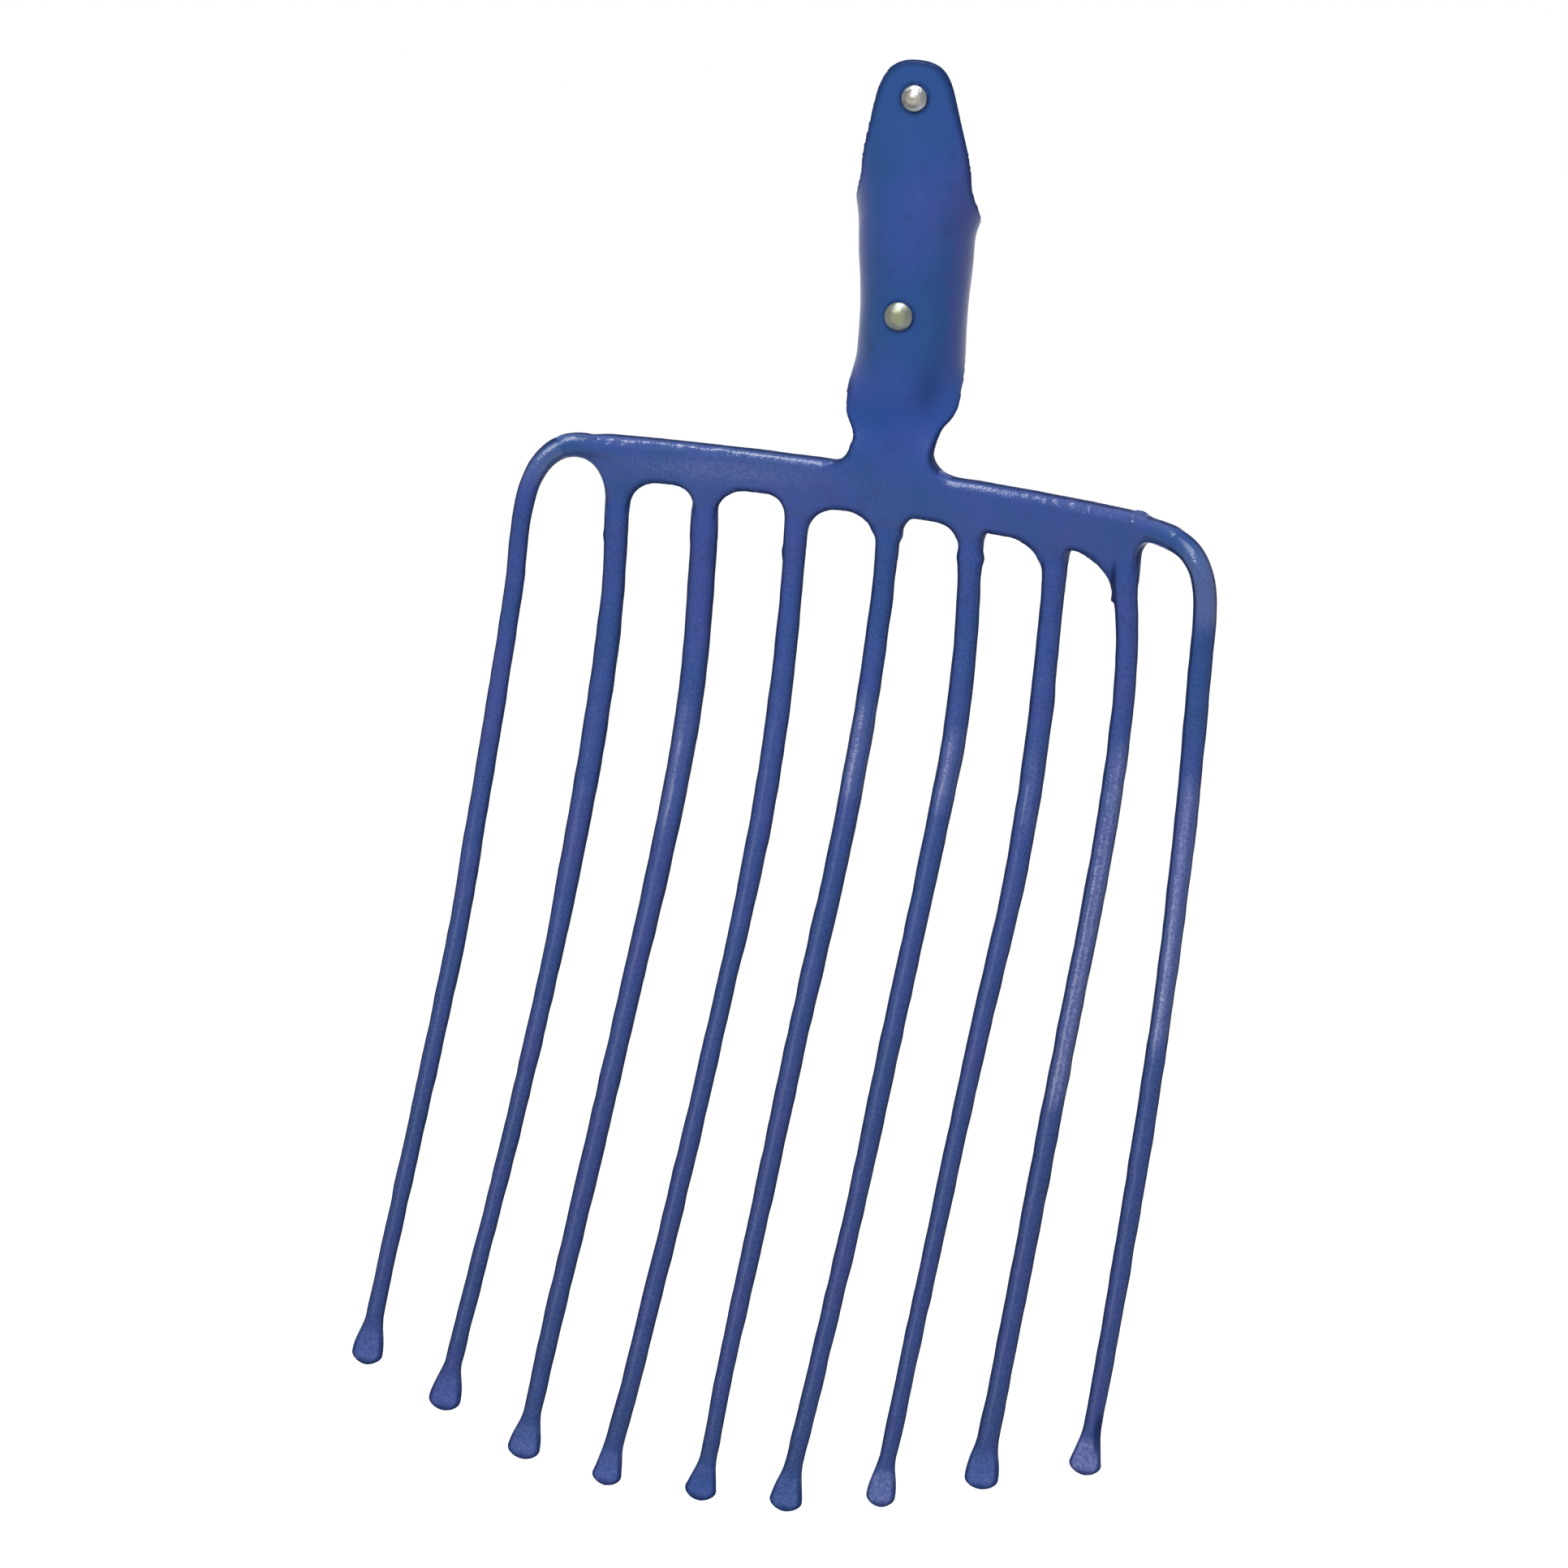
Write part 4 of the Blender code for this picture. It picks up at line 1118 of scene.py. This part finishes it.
def cut_line():
    """Points close together along the sheet's outline, without the parts that the welds cover."""
    points = []
    for first, second in zip(outline, outline[1:] + outline[:1]):
        parts = max(1, round(math.dist(first, second) / LINE_STEP))
        for part in range(parts):
            u, z = (a + (b - a) * part / parts for a, b in zip(first, second))
            if z > LINE_LOW_Z and BAR_LEFT + LINE_MARGIN < u < BAR_RIGHT - LINE_MARGIN:
                points.append((u, z, 0.0))
    return points


def edge_line(spot, top):
    """How dark the painted shade along the sheet's outline is."""
    flat = flat_place(spot)
    nearest, _, away = border.find(flat)
    line = fall(away, 0.0, TONGUE_LINE_WIDTH if spot.z > MOUTH_Z + 0.006 else LINE_WIDTH)
    if nearest.x > flat.x and spot.z < BAR_TOP_Z:
        line *= 1.0 - 0.7 * min(1.0, (nearest.x - flat.x) / max(away, 0.0001))
    if top - 0.005 < spot.z < top + 0.002 and abs(spot.x) > ROUNDING_START:
        line = 0.0
    return LINE_SHADE * line


def cut_edge(spot, normal):
    """How dark a cut edge is painted, as painted shade: not on top, little in front, and less still on the
    right.
    """
    cut = fall(sheet_facing(spot, normal), 0.30, 0.42) * fall(normal.z, 0.0, 0.5)
    if spot.z < BAR_TOP_Z + 0.004:
        behind = spot.y - (bend(spot.x, spot.z).y - DATUM.y)
        cut *= 0.25 + 0.75 * rise(behind, -0.0015, 0.0040)
        cut *= 1.0 - rise(normal.x, 0.0, 0.4) * fall(behind, 0.0012, 0.0016)
    return CUT_SHADE * cut


def crevices(spot, normal, top):
    """The painted shade in the rivets' rings and the hollows, and on the crossbar's upper face."""
    dark = [0.50 * blot(spot, *HOLLOW), 0.65 * blot(spot, *STEP_MARK)]
    dark.append(0.9 * rise(normal.z, 0.86, 0.10) * fall(spot.z - top, 0.001, 0.002))
    for height in RIVET_HEIGHTS:
        away = math.hypot(spot.x, spot.z - height)
        if RING_INNER < away < RING_OUTER and spot.y < front_y(height) + 0.001:
            dark.append(0.9 * fall(away, RING_INNER, RING_OUTER - RING_INNER))
    return max(dark)


def plate_shade(spot, normal, top):
    """How dark the plate is painted, all of it painted shade, with its edges fading out where a bar's own
    skin begins.
    """
    under = rise(-spot.z, 0.001, 0.008)
    above = rise(spot.z, 0.002, 0.004)
    kept = 1.0 - under
    kept *= 1.0 - rise(-spot.x, -BAR_LEFT - 0.005, 0.004) * above
    kept *= 1.0 - rise(spot.x, BAR_RIGHT - 0.005, 0.004) * above
    edges = max(cut_edge(spot, normal), edge_line(spot, top)) * kept
    flanks = flank_shade(flank(normal.x, normal.y)) * under
    return min(1.0, max(edges, flanks, crevices(spot, normal, top)))


cut_points = cut_line()
border = KDTree(len(cut_points))
for marker, point in enumerate(cut_points):
    border.insert(point, marker)
border.balance()
marks, bands, glosses, blooms = point_numbers(
    plate.data, "painted_shade", "colour_drift", "enamel_gloss", "specks_and_glints")
for vert in plate.data.vertices:
    vert.co = round_top(vert.co - DATUM) + DATUM
plate.data.update()
normals = [vert.normal.copy() for vert in plate.data.vertices]
for vert, normal in zip(plate.data.vertices, normals):
    spot = vert.co - DATUM
    top = bar_top(spot)
    front = max(-normal.y, 0.0)
    bright = 0.0
    if spot.z <= top + 0.003:
        bright = rise(spot.z - top, -BEAD_TOP, BEAD_TOP) * rise(abs(spot.x), ROUNDING_START, 0.006)
    wave = WAVE_HEIGHT * noise.noise(spot / WAVE_LENGTH)
    beaded = bright * rise(abs(spot.x), PLAIN_HALF, 0.014) * front
    bead = BEAD_HEIGHT * beaded * noise.noise(spot / BEAD_LENGTH)
    patch = blot(spot, *PATCH) * noise.noise(spot / PATCH_GRAIN)
    x, z, radius, height = SPOT_MARK
    raised = height * front * fall(math.hypot(spot.x - x, spot.z - z), 0.0, radius)
    drop = weld_drop(spot) * abs(normal.x) + PATCH_HEIGHT * patch + raised
    # the darkness given to each point is painted shade
    dark_shade = plate_shade(spot, normal, top)
    gloss = GLOSS + (1.0 - GLOSS) * bright * fall(normal.z, 0.80, 0.15)
    gloss -= NECK_DULLING * blot(spot, *NECK)
    gloss += (BAR_GLOSS - gloss) * ease(-spot.z / STUB_FADE)
    # pale specks; in the strip along the crossbar's upper left they are painted glints
    bloom = BAR_BLOOM * fall(spot.z, 0.022, 0.006) + GLINT_STRIP_SPECKS * blot(spot, *GLINT_STRIP)
    bloom += (BLOOM - bloom) * ease(-spot.z / STUB_BLOOM_FADE)
    marks[vert.index].value = dark_shade
    bands[vert.index].value = socket_sheen_band(spot) + PATCH_SHIFT * patch
    glosses[vert.index].value = max(gloss, 0.0) * (1.0 - 0.9 * dark_shade)
    blooms[vert.index].value = bloom * (1.0 - dark_shade)
    vert.co += normal * (wave + bead + drop)
print("dark points on the plate:", sum(mark.value > 0.5 for mark in marks))

# %% [markdown]
# ## The nine tines, as bars
#
# Each bar is the same tube with the bar's own sections along its whole line. Its skin is lumpy from the
# hammer. Painted shade darkens its flanks, its tip and the rims of its paddle, and pale specks on the
# paddle's faces are painted light. Where the photograph shows beads of gloss, the clear coat is thicker
# and the specks stand out along one line, as painted glints.

# %% Bars
# heights on the datum, in metres, between which a bar has beads of gloss, how glossy they are,
# where their middle lies between the left flank, -1, and the right one, 1, and how pale they are,
# the pale specks being painted glints
BEADED = {
    0: ((0.0000, 0.0300, 0.9, -0.3, 0.05),),
    2: ((-0.125, -0.070, 0.30, -0.4, 0.35),),
    4: ((-0.108, -0.062, 0.50, -0.4, 0.60),),
    5: ((-0.108, -0.070, 0.50, -0.2, 0.55),),
    6: ((-0.112, -0.072, 0.20, 0.0, 0.25),),
    7: ((-0.200, -0.065, 0.50, 0.2, 0.80),),
    8: ((-0.026, 0.0120, 1.0, 0.2, 0.05), (-0.175, -0.072, 0.50, -0.1, 0.80)),
}
BEAD_BAND = 0.30
BEAD_FADE = 0.012
BLOOM_START = 0.022
BLOOM_FADE = 0.016
TIP_REACH = 0.0030
LUMP_SIZE = 0.011
LUMP_HEIGHT = 0.0006
# how much painted light, as pale specks, lies on each paddle's face
PADDLE_FACE_LIGHT = (0.44, 0.36, 0.50, 0.42, 0.26, 0.44, 0.85, 0.40, 1.00)
# the tine whose paddle has a wedge of painted shade beside its face
WEDGED = 8


def bar(index):
    """One tine: a tube along its middle line, with its marks."""
    places = ring_lengths(totals[index])
    made, where = tube("bar_%d" % (index + 1), lines[index], places,
                       [bar_section(index, s) for s in places])
    marks, paddle_lights, glosses, faces = point_numbers(
        made.data, "painted_shade", "paddle_light", "enamel_gloss", "specks_and_glints")
    for vert, (s, angle, square) in zip(made.data.vertices, where):
        spot = vert.co - DATUM
        left = totals[index] - s
        across = math.cos(angle)
        turned = flank(across, math.sin(angle))
        # painted shade at the tip, on the paddle's rims, in one wedge and on the flanks
        tip = 0.9 * fall(left, 0.0, TIP_REACH)
        rim = 0.85 * square * rise(abs(across), 0.45, 0.35)
        wedge = 0.0
        if index == WEDGED:
            wedge = 0.85 * rise(across, 0.15, 0.35) * rise(left, 0.0050, 0.0050) * fall(left, 0.018, 0.008)
        dark_shade = max(tip, rim, wedge, flank_shade(turned) * (1.0 - square))
        gloss = BAR_GLOSS
        # pale specks: painted light on the paddles' faces, painted glints in the beaded stretches
        bloom = BLOOM + (PADDLE_FACE_LIGHT[index] - BLOOM) * rise(square, 0.25, 0.5)
        if index in CORNERS:
            bloom = BAR_BLOOM + (bloom - BAR_BLOOM) * rise(s, BLOOM_START, BLOOM_FADE)
        for low_z, high_z, glossy, middle, pale in BEADED.get(index, ()):
            beaded = rise(spot.z, low_z, BEAD_FADE) * fall(spot.z, high_z - BEAD_FADE, BEAD_FADE)
            gloss += (glossy - gloss) * beaded
            bloom += pale * beaded * math.exp(-((turned - middle) / BEAD_BAND) ** 2)
        marks[vert.index].value = dark_shade
        # -1 on the paddles keeps their faces lighter: painted light
        paddle_lights[vert.index].value = -square
        glosses[vert.index].value = gloss * (1.0 - dark_shade)
        faces[vert.index].value = min(bloom, 1.0) * (1.0 - dark_shade)
        vert.co.x += across * weld_drop(spot)
    bpy.ops.object.shade_smooth_by_angle(angle=math.radians(50))
    return made


hammered = bpy.data.textures.new("hammered", "CLOUDS")
hammered.noise_scale = LUMP_SIZE
hammered.noise_depth = 1
for index in range(len(LENGTHS)):
    tine = bar(index)
    finish_with(tine, "DISPLACE", texture=hammered, texture_coords="LOCAL", mid_level=0.5,
                strength=LUMP_HEIGHT)
    tine.data.materials.append(blue_paint("blue_paint_bar_%d" % (index + 1), BAR_DENTS))
    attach(tine, "root")
    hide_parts("tine_%d" % (index + 1))
    print(tine.name, len(tine.data.polygons), "faces")

# %% [markdown]
# ## The rivets
#
# Two rivets hold the handle. Each is turned from a profile: a vertical line is drawn from the middle
# of the head over its rim, down the shank and over the closed end, and the Spin tool carries it once
# round. The upper head has a flat rim left by the hammer round a raised middle, the lower one is
# beaten flatter. Both heads are bare steel: the upper one bright, the lower one tarnished yellow.

# %% Rivets
RIVET_TAIL = 0.0036
RIVET_SHANK = 0.0025
SEAT_GAP = 0.0003
TAIL_GAP = 0.00045
TAIL_HEIGHT = 0.0015
TURN_STEPS = 64
# painted shade on each rivet head: over its flat rim, and darker at its edge where it meets the sheet
FLAT_RIM_SHADE = 0.55
RIM_SHADE = 0.85
KNOCK_SIZE = 0.0016
KNOCK_HEIGHT = 0.00012
KNOCK_BUMP = 0.00010
# radius and height above the sheet, in millimetres, from the middle of the head to its rim
UPPER_HEAD = (
    (0.0, 2.60), (0.9, 2.55), (1.7, 2.34), (2.4, 1.98), (3.0, 1.54), (3.4, 1.20), (3.8, 1.02),
    (4.2, 0.94), (4.6, 0.78), (4.9, 0.48), (5.05, 0.15), (5.0, 0.0),
)
LOWER_HEAD = (
    (0.0, 2.05), (1.2, 2.00), (2.4, 1.80), (3.4, 1.44), (4.2, 1.04), (4.8, 0.68), (5.2, 0.38),
    (5.4, 0.12), (5.35, 0.0),
)
RIVET_STEEL = (0.46, 0.455, 0.41, 1.0)
RIVET_STREAK = (0.20, 0.17, 0.13, 1.0)
RIVET_TARNISH = (0.25, 0.26, 0.165, 1.0)
RIVET_TARNISH_DARK = (0.17, 0.18, 0.10, 1.0)
# the colour of the painted shade on the rivets
RIVET_SHADE = (0.10, 0.125, 0.165, 1.0)
# each noise: waves per metre, detail and roughness
STREAK_NOISE = (170.0, 2.0, 0.5)
WEAR_NOISE = (500.0, 3.0, 0.6)
KNOCK_NOISE = (380.0, 2.0, 0.5)
RIVETS = (
    ("rivet_upper", RIVET_HEIGHTS[0], UPPER_HEAD, RIVET_STEEL, RIVET_STREAK, 0.24),
    ("rivet_lower", RIVET_HEIGHTS[1], LOWER_HEAD, RIVET_TARNISH, RIVET_TARNISH_DARK, 0.34),
)


def rivet_metal(name, colour, streak, rough):
    """Bare hammered metal with darker streaks, and painted shade towards the rim."""
    finish = bpy.data.materials.new(name)
    tree = NodeTree(finish)
    shade = tree.ramp(tree.noise(*STREAK_NOISE), ((0.30, streak), (0.56, colour)))
    shade = tree.mix(tree.point_number("painted_shade"), shade, RIVET_SHADE)
    wear = tree.levels(tree.noise(*WEAR_NOISE), 0.8 * rough, 1.3 * rough)
    knocks = tree.bump(tree.noise(*KNOCK_NOISE), KNOCK_BUMP)
    tree.give(tree.nodes["Principled BSDF"], {
        "Metallic": 1.0, "Base Color": shade, "Roughness": wear, "Normal": knocks})
    return finish


def turned_rivet(name, head_profile, z):
    """A rivet turned about the Y axis from its profile, in its place in the sheet."""
    seat = SHEET_THICK / 2 + SEAT_GAP
    curve = RIVET_TAIL ** 2 * abs(through(ROLL, z)) / 2
    tail = SHEET_THICK / 2 + TAIL_GAP + curve
    profile = [(radius / 1000.0, -(seat + height / 1000.0)) for radius, height in head_profile]
    profile += [(RIVET_SHANK, -seat), (RIVET_SHANK, tail), (RIVET_TAIL, tail)]
    profile += [(0.97 * RIVET_TAIL, tail + 0.6 * TAIL_HEIGHT), (0.80 * RIVET_TAIL, tail + TAIL_HEIGHT)]
    profile.append((0.0, tail + TAIL_HEIGHT))
    made = draw_line(name, profile, False)
    bpy.ops.mesh.spin(steps=TURN_STEPS, angle=2.0 * math.pi, center=(0.0, 0.0, 0.0), axis=(0.0, 1.0, 0.0))
    bpy.ops.mesh.select_all(action="SELECT")
    bpy.ops.mesh.remove_doubles(threshold=0.00001)
    face_outwards()
    marks, = point_numbers(made.data, "painted_shade")
    rim = head_profile[-2][0] / 1000.0
    for vert in made.data.vertices:
        away = math.hypot(vert.co.x, vert.co.z)
        # painted shade on the head: over its flat rim, and darker at its edge
        flat_rim = FLAT_RIM_SHADE * rise(away, 0.0019, 0.0016)
        marks[vert.index].value = max(flat_rim, RIM_SHADE * rise(away, 0.86 * rim, 0.14 * rim))
        knock = noise.noise(vert.co / KNOCK_SIZE + Vector((z * 90.0, 0.0, 0.0)))
        vert.co += Vector((0.0, KNOCK_HEIGHT * knock, 0.0))
    made.data.transform(Matrix.Translation(Vector((0.0, front_y(z), z)) + DATUM))
    bpy.ops.object.shade_smooth_by_angle(angle=math.radians(45))
    return made


for node, z, head_profile, colour, streak, rough in RIVETS:
    rivet = turned_rivet(node + "_turned", head_profile, z)
    rivet.data.materials.append(rivet_metal(node + "_metal", colour, streak, rough))
    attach(rivet, "root")
    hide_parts(node)
    print(rivet.name, len(rivet.data.polygons), "faces")

# %% [markdown]
